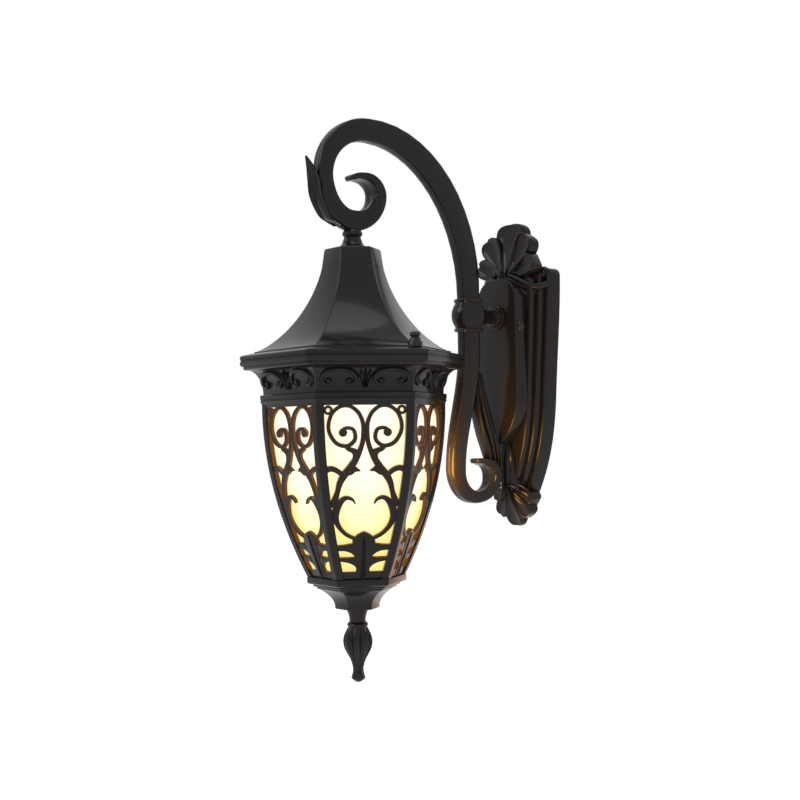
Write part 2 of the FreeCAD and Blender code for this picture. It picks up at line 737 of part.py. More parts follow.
frieze_scroll = [(-0.8, 0.66, 2.2), (-0.89, 0.37, 1.5), (-0.55, 0.17, 1.6), (-0.21, 0.37, 1.5),
                 (-0.3, 0.66, 2.2)]
frieze = [ribbon([(*on_frieze(a, d), w) for a, d, w in frieze_scroll], 1)]


def relief(outlines, corner, heights, recess, thickness):
    """Shapes drawn on the left and mirrored, on a slab that follows the front side's bow."""
    drawn = []
    for outline in outlines:
        drawing = flat_face([V(u, 0, z) for u, z in outline])
        drawn += both_sides(drawing.extrude(V(0, -crown_step_radius, 0)))
    front = [V(-crown_step_radius, recess - apothem * corner(z), z) for z in heights]
    slab = flat_face(front + [p + V(0, thickness, 0) for p in front[::-1]])
    slab = slab.extrude(V(2 * crown_step_radius, 0, 0))
    return join(drawn).common(slab)


tracery = relief(filigree, cage_corner, cage_levels, filigree_recess, filigree_thickness)
carving = relief(frieze, cove_corner, cove_levels, -frieze_relief, frieze_relief + frieze_sink)
window_side = [on_panel(-1, d) for d in levels(0, 1, cage_bands)]
window = flat_face([V(u, 0, z) for u, z in window_side + [(-u, z) for u, z in window_side[::-1]]])
window = window.extrude(V(0, -cage_top_radius, 0))


def six_sides(shape):
    copies = []
    for k in range(6):
        side = shape.copy()
        side.rotate(V(0, 0, 0), V(0, 0, 1), 60 * k)
        side.translate(V(0, -reach, 0))
        copies.append(side)
    return copies


foot_axis = V(0, -reach, 0)
stud_end = foot_axis + V(0, 0, cup_foot - foot_stud_in_finial)
nut_seat = foot_axis + V(0, 0, floor_top)
foot_hole = rod(foot_stud_radius + fit, stud_end, nut_seat, small_sides)
lug_foot = stud_foot - cap_pad_rise
body_solid = hex_solid(body_outside)
lugs = [lug.common(body_solid) for lug in at_studs(cap_lug_radius, lug_foot, eave_foot)]
body = body_solid.cut(hex_solid(body_room)).cut(Part.makeCompound(six_sides(window)))
body = join([body] + six_sides(tracery) + six_sides(carving) + lugs)
export("lantern_body", body.cut(foot_hole).cut(stud_holes))

# Opal shade: a six-sided sleeve inside the body, hung by its rim on the ledge under the crown

shade_foot = floor_top + shade_foot_gap
shade_outside = [(rim_room - fit, cage_top + shade_rim_height), (rim_room - fit, cage_top)]
shade_levels = levels(cage_top, shade_foot, cage_bands)
shade_outside += [(cage_corner(z) - cage_wall - shade_gap, z) for z in shade_levels]
shade_room = [(r - shade_wall, z) for r, z in shade_outside[2:]]
shade_room = [(shade_room[0][0], cage_top + shade_rim_height)] + shade_room
export("shade", hex_solid(shade_outside).cut(hex_solid(shade_room)))

# Base cup under the lantern's floor

step_top = cage_foot - cup_plate_height
cup_cove_top = step_top - cup_step_height
cup_outside = [(cup_radius, cage_foot), (cup_radius, step_top + cup_plate_bevel),
               (cup_radius - cup_plate_bevel, step_top), (cup_step_radius, step_top)]
for share in (0.0, 0.15, 0.35, 0.6, 1.0):
    bow = (1 - share) ** cup_cove
    cup_outside.append((cup_foot_radius + (cup_step_radius - cup_foot_radius) * bow,
                        cup_cove_top + (cup_foot - cup_cove_top) * share))
cup_room = hex_solid([
    (cup_step_radius - cup_wall, cage_foot), (cup_step_radius - cup_wall, cup_cove_top),
    (cup_foot_radius - cup_wall, cup_foot + cup_foot_plate)])
export("base_cup", hex_solid(cup_outside).cut(cup_room).cut(foot_hole))

# Finial: turned drop with a fluted bulb and a small bell end, on a stud through cup and floor


def lobed(share, radius, flute):
    ring = []
    for k, (x, y) in enumerate(circle_points(1.0, 2 * finial_lobes)):
        r = finial_radius * radius - (finial_flute * flute if k % 2 else 0)
        ring.append(V(r * x, r * y - reach, cup_foot - finial_length * share))
    return ring


finial = skin([lobed(*row) for row in (
    (0.0, 0.68, 0), (0.04, 0.68, 0), (0.14, 0.55, 0), (0.2, 0.7, 0), (0.24, 0.7, 0), (0.26, 0.62, 0.2),
    (0.34, 0.86, 0.7), (0.44, 1.0, 1), (0.55, 0.9, 1), (0.68, 0.52, 0.4), (0.8, 0.34, 0), (0.94, 0.48, 0),
    (1.0, 0.16, 0))])
export("finial", finial.cut(foot_hole))
nut_end = nut_seat + V(0, 0, foot_nut_height + foot_stud_past_nut)
export("foot_stud", rod(foot_stud_radius, stud_end, nut_end, small_sides))
export("foot_nut", hex_nut(foot_nut_flats, foot_nut_height, nut_seat, V(0, 0, 1), foot_stud_radius + fit))

# Hanger tube, its nut under the roof, the lampholder and the bulb

holder_axis = V(0, -reach, holder_top)
hanger_foot = holder_axis - V(0, 0, holder_entry)
export("hanger_tube", hollow_tube(hanger_foot, V(0, -reach, hanger_top)))
export("hanger_nut", tube_nut(V(0, -reach, roof_top - roof_plate), V(0, 0, -1)))
holder = turned([
    (holder_cap_radius, 0), (holder_cap_radius, holder_cap_height),
    (holder_radius, holder_cap_height + holder_shoulder), (holder_radius, holder_height)],
    holder_axis, V(0, 0, -1), round_sides)
holder_seat = holder_axis - V(0, 0, holder_cap_height + holder_shoulder)
holder_mouth = holder_axis - V(0, 0, holder_height)
holder = holder.cut(rod(holder_bore, holder_seat, holder_mouth, round_sides))
export("lampholder", holder.cut(tube_room(hanger_foot, holder_axis)))
base_length = holder_height - holder_cap_height - holder_shoulder
bulb = turned([
    (bulb_base_radius, 0), (bulb_base_radius, base_length), (bulb_radius, base_length + bulb_taper),
    (bulb_radius, bulb_length - bulb_dome), (bulb_radius * 0.8, bulb_length - bulb_dome * 0.35),
    (bulb_radius * 0.4, bulb_length)], holder_seat, V(0, 0, -1), round_sides)
export("bulb", bulb)
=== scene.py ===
import math

import bmesh
import bpy
from mathutils import Matrix, Vector


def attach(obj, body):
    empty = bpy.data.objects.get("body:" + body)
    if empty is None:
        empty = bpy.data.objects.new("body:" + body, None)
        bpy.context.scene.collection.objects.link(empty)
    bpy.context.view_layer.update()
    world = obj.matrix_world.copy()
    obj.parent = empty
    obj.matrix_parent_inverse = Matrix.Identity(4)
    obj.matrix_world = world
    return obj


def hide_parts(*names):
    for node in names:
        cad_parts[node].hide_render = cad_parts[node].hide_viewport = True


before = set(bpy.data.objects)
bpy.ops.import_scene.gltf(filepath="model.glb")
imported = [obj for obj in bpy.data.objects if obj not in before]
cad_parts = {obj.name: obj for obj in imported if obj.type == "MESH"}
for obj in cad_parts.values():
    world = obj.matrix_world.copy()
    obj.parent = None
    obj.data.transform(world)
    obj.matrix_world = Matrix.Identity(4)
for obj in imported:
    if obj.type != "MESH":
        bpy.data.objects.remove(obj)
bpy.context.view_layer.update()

# Wall plate: one shield-shaped aluminium casting, hollow behind, painted satin black.
# Three rounded reeds step up to a flat panel; a palmette, two volutes and a shell are cast on.
# Shapes are drawn in millimetres in the part's frame and shrunk to metres when a piece is finished.
mm = 0.001


class Value:
    """An output of a shader node; arithmetic on it adds Math nodes to the same material."""

    def __init__(self, socket):
        self.socket = socket

    def node(self, kind, settings, inputs, output=0):
        """Adds any other node, with its settings and its inputs by name or number."""
        tree = self.socket.id_data
        made = tree.nodes.new(kind)
        for name, setting in settings.items():
            setattr(made, name, setting)
        for name, value in inputs.items():
            feed(made.inputs[name], value)
        return Value(made.outputs[output])

    def math(self, operation, *values):
        return self.node("ShaderNodeMath", {"operation": operation}, dict(enumerate(values)))

    def __add__(self, other):
        return self.math("ADD", self, other)

    def __sub__(self, other):
        return self.math("SUBTRACT", self, other)

    def __mul__(self, other):
        return self.math("MULTIPLY", self, other)

    def __truediv__(self, other):
        return self.math("DIVIDE", self, other)

    def __rsub__(self, other):
        return self.math("SUBTRACT", other, self)

    def __rtruediv__(self, other):
        return self.math("DIVIDE", other, self)

    __radd__ = __add__
    __rmul__ = __mul__

    def blend(self, low, high):
        """A colour between low and high, by this value from 0 to 1."""
        return self.node("ShaderNodeMix", {"data_type": "RGBA"}, {0: self, 6: low, 7: high}, 2)

    def ramp(self, low, high):
        """0 where this value is at low, 1 where it is at high, smooth between."""
        ends = {"Value": self, "From Min": low, "From Max": high}
        return self.node("ShaderNodeMapRange", {"interpolation_type": "SMOOTHSTEP"}, ends)

    def noise(self, scale, detail):
        return self.node("ShaderNodeTexNoise", {}, {"Vector": self, "Scale": scale, "Detail": detail})


def feed(socket, value):
    if isinstance(value, Value):
        socket.id_data.links.new(value.socket, socket)
    else:
        socket.default_value = value


def new_finish(name):
    """A material, its principled shader and the object coordinates in it."""
    material = bpy.data.materials.new(name)
    material.use_nodes = True
    nodes = material.node_tree.nodes
    return material, nodes["Principled BSDF"], Value(nodes.new("ShaderNodeTexCoord").outputs["Object"])


def surface(shader, colour, roughness, height, depth):
    """Gives a shader a varied colour and roughness, and a relief of this depth."""
    feed(shader.inputs["Base Color"], colour)
    feed(shader.inputs["Roughness"], roughness)
    feed(shader.inputs["Normal"], height.node("ShaderNodeBump", {}, {"Height": height, "Distance": depth}))


def paint_finish(name):
    """Satin black sprayed paint with a brown cast, a fine orange peel and a little dust."""
    material, shader, place = new_finish(name)
    cloud = place.noise(28, 4)
    dust = place.noise(900, 2).ramp(0.62, 0.8) * 0.35
    peel = place.noise(420, 2)
    tone = cloud.blend((0.0095, 0.0078, 0.0077, 1), (0.0145, 0.012, 0.0117, 1))
    surface(shader, dust.blend(tone, (0.024, 0.021, 0.02, 1)), 0.2 + cloud * 0.12, peel, 0.00005)
    shader.inputs["Specular IOR Level"].default_value = 0.06
    shader.inputs["Coat Weight"].default_value = 0.22
    shader.inputs["Coat Roughness"].default_value = 0.1
    return material, shader, place


black_paint = paint_finish("black_paint")[0]


def bezier(a, b, c, d, t):
    return a * (1 - t) ** 3 + b * (3 * t * (1 - t) ** 2) + c * (3 * t * t * (1 - t)) + d * t ** 3


def smooth_line(knots, steps):
    """Points on a smooth line through knots, which hold any number of values."""
    knots = [Vector(knot) for knot in knots]
    line = []
    for k, (start, end) in enumerate(zip(knots, knots[1:])):
        before = knots[max(k - 1, 0)]
        after = knots[min(k + 2, len(knots) - 1)]
        leave, arrive = (end - before) / 6, (after - start) / 6
        line += [bezier(start, start + leave, end - arrive, end, step / steps) for step in range(steps)]
    return line + [knots[-1]]


def stations(points, normals, halves, depths):
    """Places a section on each point: across the line, out along the normal, and onwards."""
    places = []
    for k, point in enumerate(points):
        onwards = (points[min(k + 1, len(points) - 1)] - points[max(k - 1, 0)]).normalized()
        out = (normals[k] - onwards * normals[k].dot(onwards)).normalized()
        turn = Matrix((out.cross(onwards) * halves[k], out * depths[k], onwards)).transposed()
        places.append(Matrix.Translation(point) @ turn.to_4x4())
    return places


def sweep(bm, section, places, ends=True):
    """Pulls a closed section along places, closes the ends, and returns the rings of vertices."""
    ring = [bm.verts.new(places[0] @ Vector((*point, 0))) for point in section]
    first = edges = [bm.edges.new((ring[k - 1], ring[k])) for k in range(len(ring))]
    rings = [ring]
    for here, there in zip(places, places[1:]):
        grown = bmesh.ops.extrude_edge_only(bm, edges=edges)["geom"]
        rings.append([part for part in grown if isinstance(part, bmesh.types.BMVert)])
        edges = [part for part in grown if isinstance(part, bmesh.types.BMEdge) and part.is_boundary]
        bmesh.ops.transform(bm, matrix=there @ here.inverted(), verts=rings[-1])
    if ends:
        bmesh.ops.edgeloop_fill(bm, edges=first)
        bmesh.ops.edgeloop_fill(bm, edges=edges)
    return rings


def finish(name, bm, material, slot, *nodes):
    """Makes the finished piece, which stands in for its CAD nodes."""
    bmesh.ops.recalc_face_normals(bm, faces=bm.faces)
    bmesh.ops.scale(bm, vec=(mm, mm, mm), verts=bm.verts)
    mesh = bpy.data.meshes.new(name)
    bm.to_mesh(mesh)
    bm.free()
    mesh.shade_smooth()
    mesh.set_sharp_from_angle(angle=math.radians(35))
    mesh.materials.append(material)
    piece = bpy.data.objects.new(name, mesh)
    bpy.context.scene.collection.objects.link(piece)
    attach(piece, "root")
    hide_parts(*nodes)


plate_sizes = (36.3, 43.0, 7.0, -70.0, -163.0, 7.0)
panel_sizes = (24.0, 34.0, 18.0, -72.0, -113.0, 0.4)
plate_wall, rim_depth, panel_front = 4.0, 14.6, 40.6
reed_width, reed_step, reed_round, panel_round = 4.2, 6.5, 1.9, 1.2
drawn_from, drawn_to, foot_share, shoulder_share = -100.0, 40.0, 0.88, 1.1


def drawn_in(z):
    """The share of the shield's width at a height: its sides draw in from the shoulders to the foot."""
    rise = max(0.0, min(1.0, (z - drawn_from) / (drawn_to - drawn_from)))
    return foot_share + (shoulder_share - foot_share) * rise * rise * (3 - 2 * rise)


def outline(sizes, inset, depth):
    """A shield set in all round: half width, top, corner, side's end, foot and its half width."""
    half, top, corner, side_end, foot, foot_half = sizes
    bow = ((half - foot_half) ** 2 + (side_end - foot) ** 2) / (2 * (half - foot_half))
    centre = half - bow
    bow, half, top = bow - inset, half - inset, top - inset
    corner, foot_half = max(corner - inset, 3.0), max(foot_half - 2 * inset, 0.4)
    turn = math.acos((foot_half - centre) / bow)
    angles = [turn * (1 - k / 14) for k in range(15)]
    right = [(centre + bow * math.cos(a), side_end - bow * math.sin(a)) for a in angles]
    angles = [math.pi / 2 * k / 7 for k in range(8)]
    right += [(half, side_end + (top - corner - side_end) * k / 8) for k in range(1, 8)]
    right += [(half - corner + corner * math.cos(a), top - corner + corner * math.sin(a)) for a in angles]
    if sizes is plate_sizes:
        right = [(x * drawn_in(z), z) for x, z in right]
    return [Vector((x, -depth, z)) for x, z in right + [(-x, z) for x, z in right[::-1]]]


def rounded(sizes, inset, back, front, radius):
    """Levels of a wall and its rounded front edge."""
    turns = [math.pi / 2 * k / 4 for k in range(5)]
    edge = [(sizes, inset + radius * (1 - math.cos(a)), front - radius * (1 - math.sin(a))) for a in turns]
    return [(sizes, inset, back)] + edge


reed_tops = [rim_depth + reed_step * k for k in range(3)]
levels = [(panel_sizes, plate_wall, panel_front - plate_wall),
          (panel_sizes, plate_wall, reed_tops[2] - plate_wall),
          (plate_sizes, 2 * reed_width + plate_wall, reed_tops[2] - plate_wall),
          (plate_sizes, 2 * reed_width + plate_wall, rim_depth - plate_wall),
          (plate_sizes, plate_wall, rim_depth - plate_wall),
          (plate_sizes, plate_wall, 0.0)]
for k, top in enumerate(reed_tops):
    levels += rounded(plate_sizes, reed_width * k, reed_tops[k - 1] if k else 0.0, top, reed_round)
levels += rounded(panel_sizes, 0.0, reed_tops[2], panel_front, panel_round)
loops = [outline(*level) for level in levels]
plate = bmesh.new()
ring = [plate.verts.new(spot) for spot in loops[0]]
edges = [plate.edges.new((ring[k - 1], ring[k])) for k in range(len(ring))]
bmesh.ops.edgeloop_fill(plate, edges=edges)
for here, there in zip(loops, loops[1:]):
    moves = dict(zip(map(tuple, here), there))
    grown = bmesh.ops.extrude_edge_only(plate, edges=edges)["geom"]
    edges = [part for part in grown if isinstance(part, bmesh.types.BMEdge) and part.is_boundary]
    for part in grown:
        if isinstance(part, bmesh.types.BMVert):
            part.co = moves[tuple(part.co)]
bmesh.ops.edgeloop_fill(plate, edges=edges)

flute_side = [(-1.0, 0.0), (-1.0, 0.84), (-0.96, 0.93), (-0.88, 0.985), (-0.78, 1.0), (-0.68, 0.985),
              (-0.6, 0.93), (-0.5, 0.9), (-0.25, 0.87)]
flute_section = flute_side + [(0.0, 0.86)] + [(-across, out) for across, out in flute_side[::-1]]


def frond(bm, base, angle, knots):
    """A fluted leaf that leaves base at an angle from +Z: knots (length, half width, front, back)."""
    way = Vector((math.sin(math.radians(angle)), 0, math.cos(math.radians(angle))))
    line = smooth_line(knots, 4)
    points = [base + way * k[0] - Vector((0, k[3], 0)) for k in line]
    places = []
    for k, point in zip(line, points):
        turn = Matrix((Vector((0, -1, 0)).cross(way) * k[1], Vector((0, k[3] - k[2], 0)), way)).transposed()
        places.append(Matrix.Translation(point) @ turn.to_4x4())
    sweep(bm, flute_section, places)


bead_section = [(math.cos(math.pi * k / 8), math.sin(math.pi * k / 8)) for k in range(9)] + [(0.0, -0.8)]


def strand(bm, knots):
    """A rounded strand on the plate: knots are (x, y, z, radius)."""
    line = smooth_line(knots, 6)
    points = [Vector(k[:3]) for k in line]
    normals = [Vector((0, -1, 0))] * len(line)
    radii = [k[3] for k in line]
    sweep(bm, bead_section, stations(points, normals, radii, radii))


def ball(bm, place, radius):
    bmesh.ops.create_uvsphere(bm, u_segments=16, v_segments=10, radius=radius,
                              matrix=Matrix.Translation(place))


volute_strands = [
    [(9, -34, 37, 1.95), (15.6, -32, 34, 2.34), (22, -29.5, 30.4, 2.6), (28, -26, 27.6, 2.73),
     (34, -21.5, 26, 2.86), (39, -15.5, 28.4, 2.86), (40, -13.5, 34, 2.73), (37.4, -14, 40, 2.47),
     (33, -15.5, 41.4, 2.21), (30.4, -17, 38.4, 1.95), (32, -17.5, 34.8, 1.56)],
    [(10, -30, 40, 1.56), (17, -28, 37.4, 1.82), (23, -24, 35.4, 1.95), (27, -20, 33.4, 1.56)],
    [(6, -36.5, 34.6, 1.56), (13, -33.5, 32, 1.95), (21, -28.5, 27.2, 2.08), (29, -22.4, 22.6, 1.82)],
    [(5, -38, 33.2, 1.56), (12, -36, 30, 1.95), (19, -31.5, 25, 2.08), (25, -26, 19.4, 1.82)],
    [(12, -26, 43, 1.69), (18, -24, 45, 2.08), (25, -20, 45, 2.08), (31, -16, 43.4, 1.69)]]
volute_balls = [(35.2, -15.5, 37.2, 3.2), (29.4, -22, 22.2, 2.4), (25.4, -25.6, 18.6, 2.2)]
shell_strands = [
    [(3, -33, -148.6, 1.17), (7, -31.6, -149.6, 1.43), (11, -29.8, -151.6, 1.3), (14, -28, -154, 1.04)],
    [(11, -28.6, -148.4, 1.04), (15, -27, -150, 1.3), (18.4, -25.6, -152.6, 1.17), (21, -24.4, -156, 0.91)]]
palmette_base, shell_base = Vector((0, 0, 32.0)), Vector((0, 0, -150.0))
frond(plate, palmette_base, 0, [
    (0, 2.5, 34, 9), (9, 4, 32, 9), (18, 7, 28.5, 10), (27, 11.5, 25, 11.5), (34, 15.5, 22.5, 13),
    (42, 18.8, 21.5, 14), (47, 18.2, 21.5, 15), (50.4, 15, 22, 16), (52.4, 10, 22, 17), (53.0, 5, 21.5, 18)])
frond(plate, shell_base, 180, [
    (0, 2.5, 33, 10), (8, 4, 32, 10), (16, 6.5, 29.5, 11.5), (24, 8.8, 26, 13.5), (30, 9.4, 23, 15),
    (33.6, 8, 20.8, 16), (35.4, 5, 19.4, 16.5)])
frond(plate, shell_base, 0, [
    (-4, 6.5, 32, 10), (8, 7.6, 32.4, 10), (20, 8.0, 32.4, 10), (32, 6.0, 32, 10), (40, 2.0, 31.5, 10)])
for side in (-1, 1):
    frond(plate, palmette_base, side * 32, [
        (0, 2, 33.5, 16), (10, 3.4, 31.5, 16.5), (20, 6.4, 29, 17), (30, 9.6, 28, 17), (38, 11.2, 28, 17),
        (43.5, 10.2, 28.4, 17.5), (46.2, 7.4, 28.4, 18), (47.2, 3.6, 27.8, 19)])
    frond(plate, palmette_base, side * 62, [
        (0, 2, 33, 16), (9, 3.4, 31.5, 17), (17, 5.8, 30, 17), (25, 8.4, 29.5, 17), (31.5, 9.4, 30, 17),
        (35.4, 8.2, 30.6, 17.5), (37.4, 5.6, 30.8, 18), (38.0, 2.8, 30.2, 19)])
    frond(plate, shell_base, 180 + side * 32, [
        (0, 2, 32.5, 11), (7, 3.4, 31, 12), (14, 5.6, 29, 12.5), (21, 7.6, 27.4, 13), (27, 7.6, 26, 13.5),
        (30, 5.6, 25, 14.5), (31.2, 2.8, 24, 15.5)])
    frond(plate, shell_base, 180 + side * 56, [
        (0, 2, 32, 10), (6, 3.2, 30.5, 10), (12, 5.2, 29, 10), (18, 6.6, 27.6, 10), (22, 6.2, 26.8, 10.5),
        (24.4, 4.4, 26.2, 11), (25.2, 2.4, 25.4, 12)])
    for knots in volute_strands + shell_strands:
        strand(plate, [(side * x, *rest) for x, *rest in knots])
    for x, y, z, radius in volute_balls:
        ball(plate, (side * x, y, z), radius)
finish("plate_casting", plate, black_paint, "black_paint", "back_plate")

# Side screws: two dome-headed steel screws with washers, blackened, through the panel's flanks.
# They turn into the ears of the wall bracket and hold the plate to the wall.
side_screw_y, side_screw_z = -35.0, -9.0
screw_profile = [(2.0, -6.2), (2.0, 0.0), (5.0, 0.0), (5.0, 0.7), (4.7, 1.0), (3.7, 1.0), (3.6, 1.9),
                 (3.1, 2.9), (2.2, 3.4), (0.6, 3.6)]


def turned(bm, profile, start, way, sides=32, ends=True):
    """Pulls a ring of sides through levels (radius, distance along way from start)."""
    angles = [2 * math.pi * k / sides for k in range(sides)]
    tilt = Vector((0, 0, 1)).rotation_difference(Vector(way)).to_matrix().to_4x4()
    stand = Matrix.Translation(start) @ tilt
    places = [stand @ Matrix.Translation((0, 0, h)) @ Matrix.Diagonal((r, r, 1, 1)) for r, h in profile]
    return sweep(bm, [(math.cos(a), math.sin(a)) for a in angles], places, ends)


def fixing_finish(name, dark, light, metallic, roughness):
    """Plated steel with fine turning marks and a cloudy tone."""
    material, shader, place = new_finish(name)
    cloud = place.noise(160, 3)
    surface(shader, cloud.blend(dark, light), roughness + cloud * 0.15, place.noise(1500, 1), 0.00004)
    shader.inputs["Metallic"].default_value = metallic
    shader.inputs["Specular IOR Level"].default_value = 0.25
    return material


dark_fixings = fixing_finish("dark_fixings", (0.009, 0.008, 0.008, 1), (0.018, 0.016, 0.015, 1), 0.0, 0.2)
screws = bmesh.new()
for side in (-1, 1):
    turned(screws, screw_profile, (side * panel_sizes[0], side_screw_y, side_screw_z), (side, 0, 0))
finish("side_screw_pair", screws, dark_fixings, "dark_fixings", "side_screws")

# Boss: a turned rosette and stub, cast in aluminium and painted with the lamp.
# It stands between the plate's panel and the arm's knuckle, on a hollow bolt.
bolt_bore = 5.2
boss_profile = [(bolt_bore, 0.0), (11.3, 0.0), (11.3, 1.6), (10.9, 2.5), (10.0, 3.0), (9.0, 3.0), (8.8, 3.4),
                (8.8, 5.0), (8.3, 5.9), (7.2, 6.3), (6.6, 6.8), (6.2, 10.0), (6.6, 14.2), (7.6, 17.4),
                (8.0, 19.8), (bolt_bore, 19.8)]


def bored(bm, profile, start, way, sides=32):
    """A turned piece with a bore, whose last level joins its first."""
    turned(bm, profile + profile[:1], start, way, sides, ends=False)
    bmesh.ops.remove_doubles(bm, verts=bm.verts, dist=0.001)


boss = bmesh.new()
bored(boss, boss_profile, (0, -panel_front, 0), (0, -1, 0))
finish("boss_casting", boss, black_paint, "black_paint", "arm_boss")

# Arm: two mirrored castings screwed together face to face, with the wires between them.
# A bevelled strap runs from the scroll over the lantern down the post to the hook at the foot.
reach, post_y, arch_top_y, arch_foot_z = -200.0, -74.0, -184.0, 14.0
post_half, strap_half, flared_half, tip_half = 9.5, 5.5, 9.2, 3.8
arch_swell, bend_steps, quarter_bend = 2.0, 14, 0.5523


def bends(knots, steps):
    """Quarter ellipses through knots (y, z, half width, half thickness), upright and level by turns."""
    line = []
    for k, (start, end) in enumerate(zip(knots, knots[1:])):
        start, end = Vector(start), Vector(end)
        run = end - start
        rise = Vector((0, run[1] * quarter_bend, run[2] / 3, run[3] / 3))
        level = Vector((run[0] * quarter_bend, 0, run[2] / 3, run[3] / 3))
        leave, arrive = (level, rise) if k % 2 else (rise, level)
        line += [bezier(start, start + leave, end - arrive, end, step / steps) for step in range(steps)]
    return line + [Vector(knots[-1])]


scroll = bends([(post_y, arch_foot_z, post_half, strap_half), (arch_top_y, 146.5, post_half, strap_half),
                (-228.3, 106.0, 6.9, strap_half), (-200.0, 70.5, 8.5, strap_half),
                (-175.2, 93.0, 5.2, flared_half), (-191.0, 107.2, 3.0, flared_half)], bend_steps)
for k in range(1, bend_steps):
    swell = arch_swell * math.sin(math.pi * k / bend_steps)
    away = Vector((scroll[k][0] - arch_top_y, scroll[k][1] - arch_foot_z)).normalized() * swell
    scroll[k] += Vector((*away, swell, 0))
scroll += smooth_line([scroll[-1], (-197.0, 107.0, 2.6, 8.0), (-201.4, 105.4, 2.2, 6.4),
                       (-203.2, 104.2, 1.2, tip_half)], 5)[1:]
lean_top, lean_foot = Vector((post_y, -30.0, post_half, strap_half)), Vector((-91.6, -134.0, 8.0, strap_half))
lean_pull = Vector((0, -36.0, 0, 0))
lean = [bezier(lean_top, lean_top + lean_pull, lean_foot - lean_pull, lean_foot, k / bend_steps)
        for k in range(bend_steps)]
hook = bends([lean_foot, (-69.6, -158.0, 5.2, strap_half), (-49.0, -141.0, 4.1, flared_half),
              (-60.9, -127.6, 2.8, flared_half)], 12)
hook += smooth_line([hook[-1], (-65.2, -126.6, 2.5, 7.8), (-69.0, -126.8, 2.1, 6.0),
                     (-70.6, -127.2, 1.2, tip_half)], 5)[1:]


def strap(bm, section, line, side):
    """One half of a strap on the arm's plane, on the given side of it."""
    points = [Vector((0, k[0], k[1])) for k in line]
    normals = [Vector((side, 0, 0))] * len(line)
    if side < 0:
        section = [(-across, out) for across, out in section]
    sweep(bm, section, stations(points, normals, [k[2] for k in line], [k[3] for k in line]))


def join(bm, other):
    """Adds another mesh to bm and frees it."""
    shape = bpy.data.meshes.new("joined")
    other.to_mesh(shape)
    other.free()
    bm.from_mesh(shape)
    bpy.data.meshes.remove(shape)


half_section = [(-0.965, 0.0), (-1.0, 0.07), (-1.0, 0.62), (-0.95, 0.82), (-0.86, 0.95), (-0.74, 1.0),
                (0.74, 1.0), (0.86, 0.95), (0.95, 0.82), (1.0, 0.62), (1.0, 0.07), (0.965, 0.0)]
leaf_section = [(-1.0, 0.0), (-0.86, 0.5), (-0.35, 0.9), (0.25, 1.0), (0.45, 0.9), (0.3, 0.7), (-0.1, 0.5),
                (-0.25, 0.25), (-0.3, 0.0)]
leaf_rib = [(-1.0, 0.0), (-0.92, 0.62), (-0.55, 0.95), (0.0, 1.0), (0.55, 0.95), (0.92, 0.62), (1.0, 0.0)]
knuckle_flat, ring_flat, ring_start = 7.0, 8.0, 11.4
knuckle_foot = [(0.5, -14.4), (11.6, -14.4), (12.6, -13.6), (12.9, -12.7), (12.6, -11.8), (11.8, -11.0),
                (11.9, -10.2), (13.8, -7.4), (15.0, -3.8)]
knuckle_profile = knuckle_foot + [(15.4, 0.0)] + [(r, -h) for r, h in knuckle_foot[::-1]]
bud_leaf = [(-214.3, 65.5, 0.8, 5.6), (-221.6, 69.4, 2.2, 6.2), (-228.8, 74.5, 3.6, 6.6),
            (-235.6, 88.0, 5.2, 6.8), (-238.0, 101.0, 4.5, 6.2), (-241.0, 110.0, 2.9, 4.0),
            (-245.0, 118.0, 0.6, 1.0)]
bud_lobe = [(-216.5, 68.0, 0.8, 6.2), (-224.0, 73.0, 3.0, 6.8), (-229.6, 84.0, 4.4, 7.0),
            (-231.6, 94.0, 3.6, 6.6), (-232.0, 102.0, 0.8, 5.6)]
leaf_curls = [(-63.6, -57.0, 4.4), (-66.4, -68.5, 3.6)]
hook_ribs = [
    [(-62.0, -50.0, 0.8, 3.0), (-59.0, -70.0, 2.0, 4.4), (-52.5, -92.0, 2.6, 4.8), (-44.0, -116.0, 2.4, 5.0),
     (-41.0, -130.0, 1.6, 4.4), (-43.5, -137.0, 0.8, 3.4)],
    [(-64.8, -48.0, 0.8, 3.6), (-62.2, -66.0, 1.8, 5.6), (-56.0, -90.0, 2.2, 6.2), (-48.4, -112.0, 2.0, 6.2),
     (-44.6, -132.0, 1.0, 5.4)],
    [(-66.8, -48.0, 0.8, 3.8), (-65.4, -66.0, 1.8, 5.8), (-59.6, -90.0, 2.2, 6.4), (-52.4, -112.0, 2.0, 6.4),
     (-48.6, -131.0, 1.0, 5.6)],
    [(-68.4, -60.0, 0.8, 3.6), (-67.4, -80.0, 2.0, 5.4), (-62.8, -99.0, 2.4, 5.8), (-56.8, -115.0, 2.2, 5.8),
     (-53.4, -126.0, 1.2, 5.0)]]
post = smooth_line([scroll[0], lean_top], 4)[1:-1]
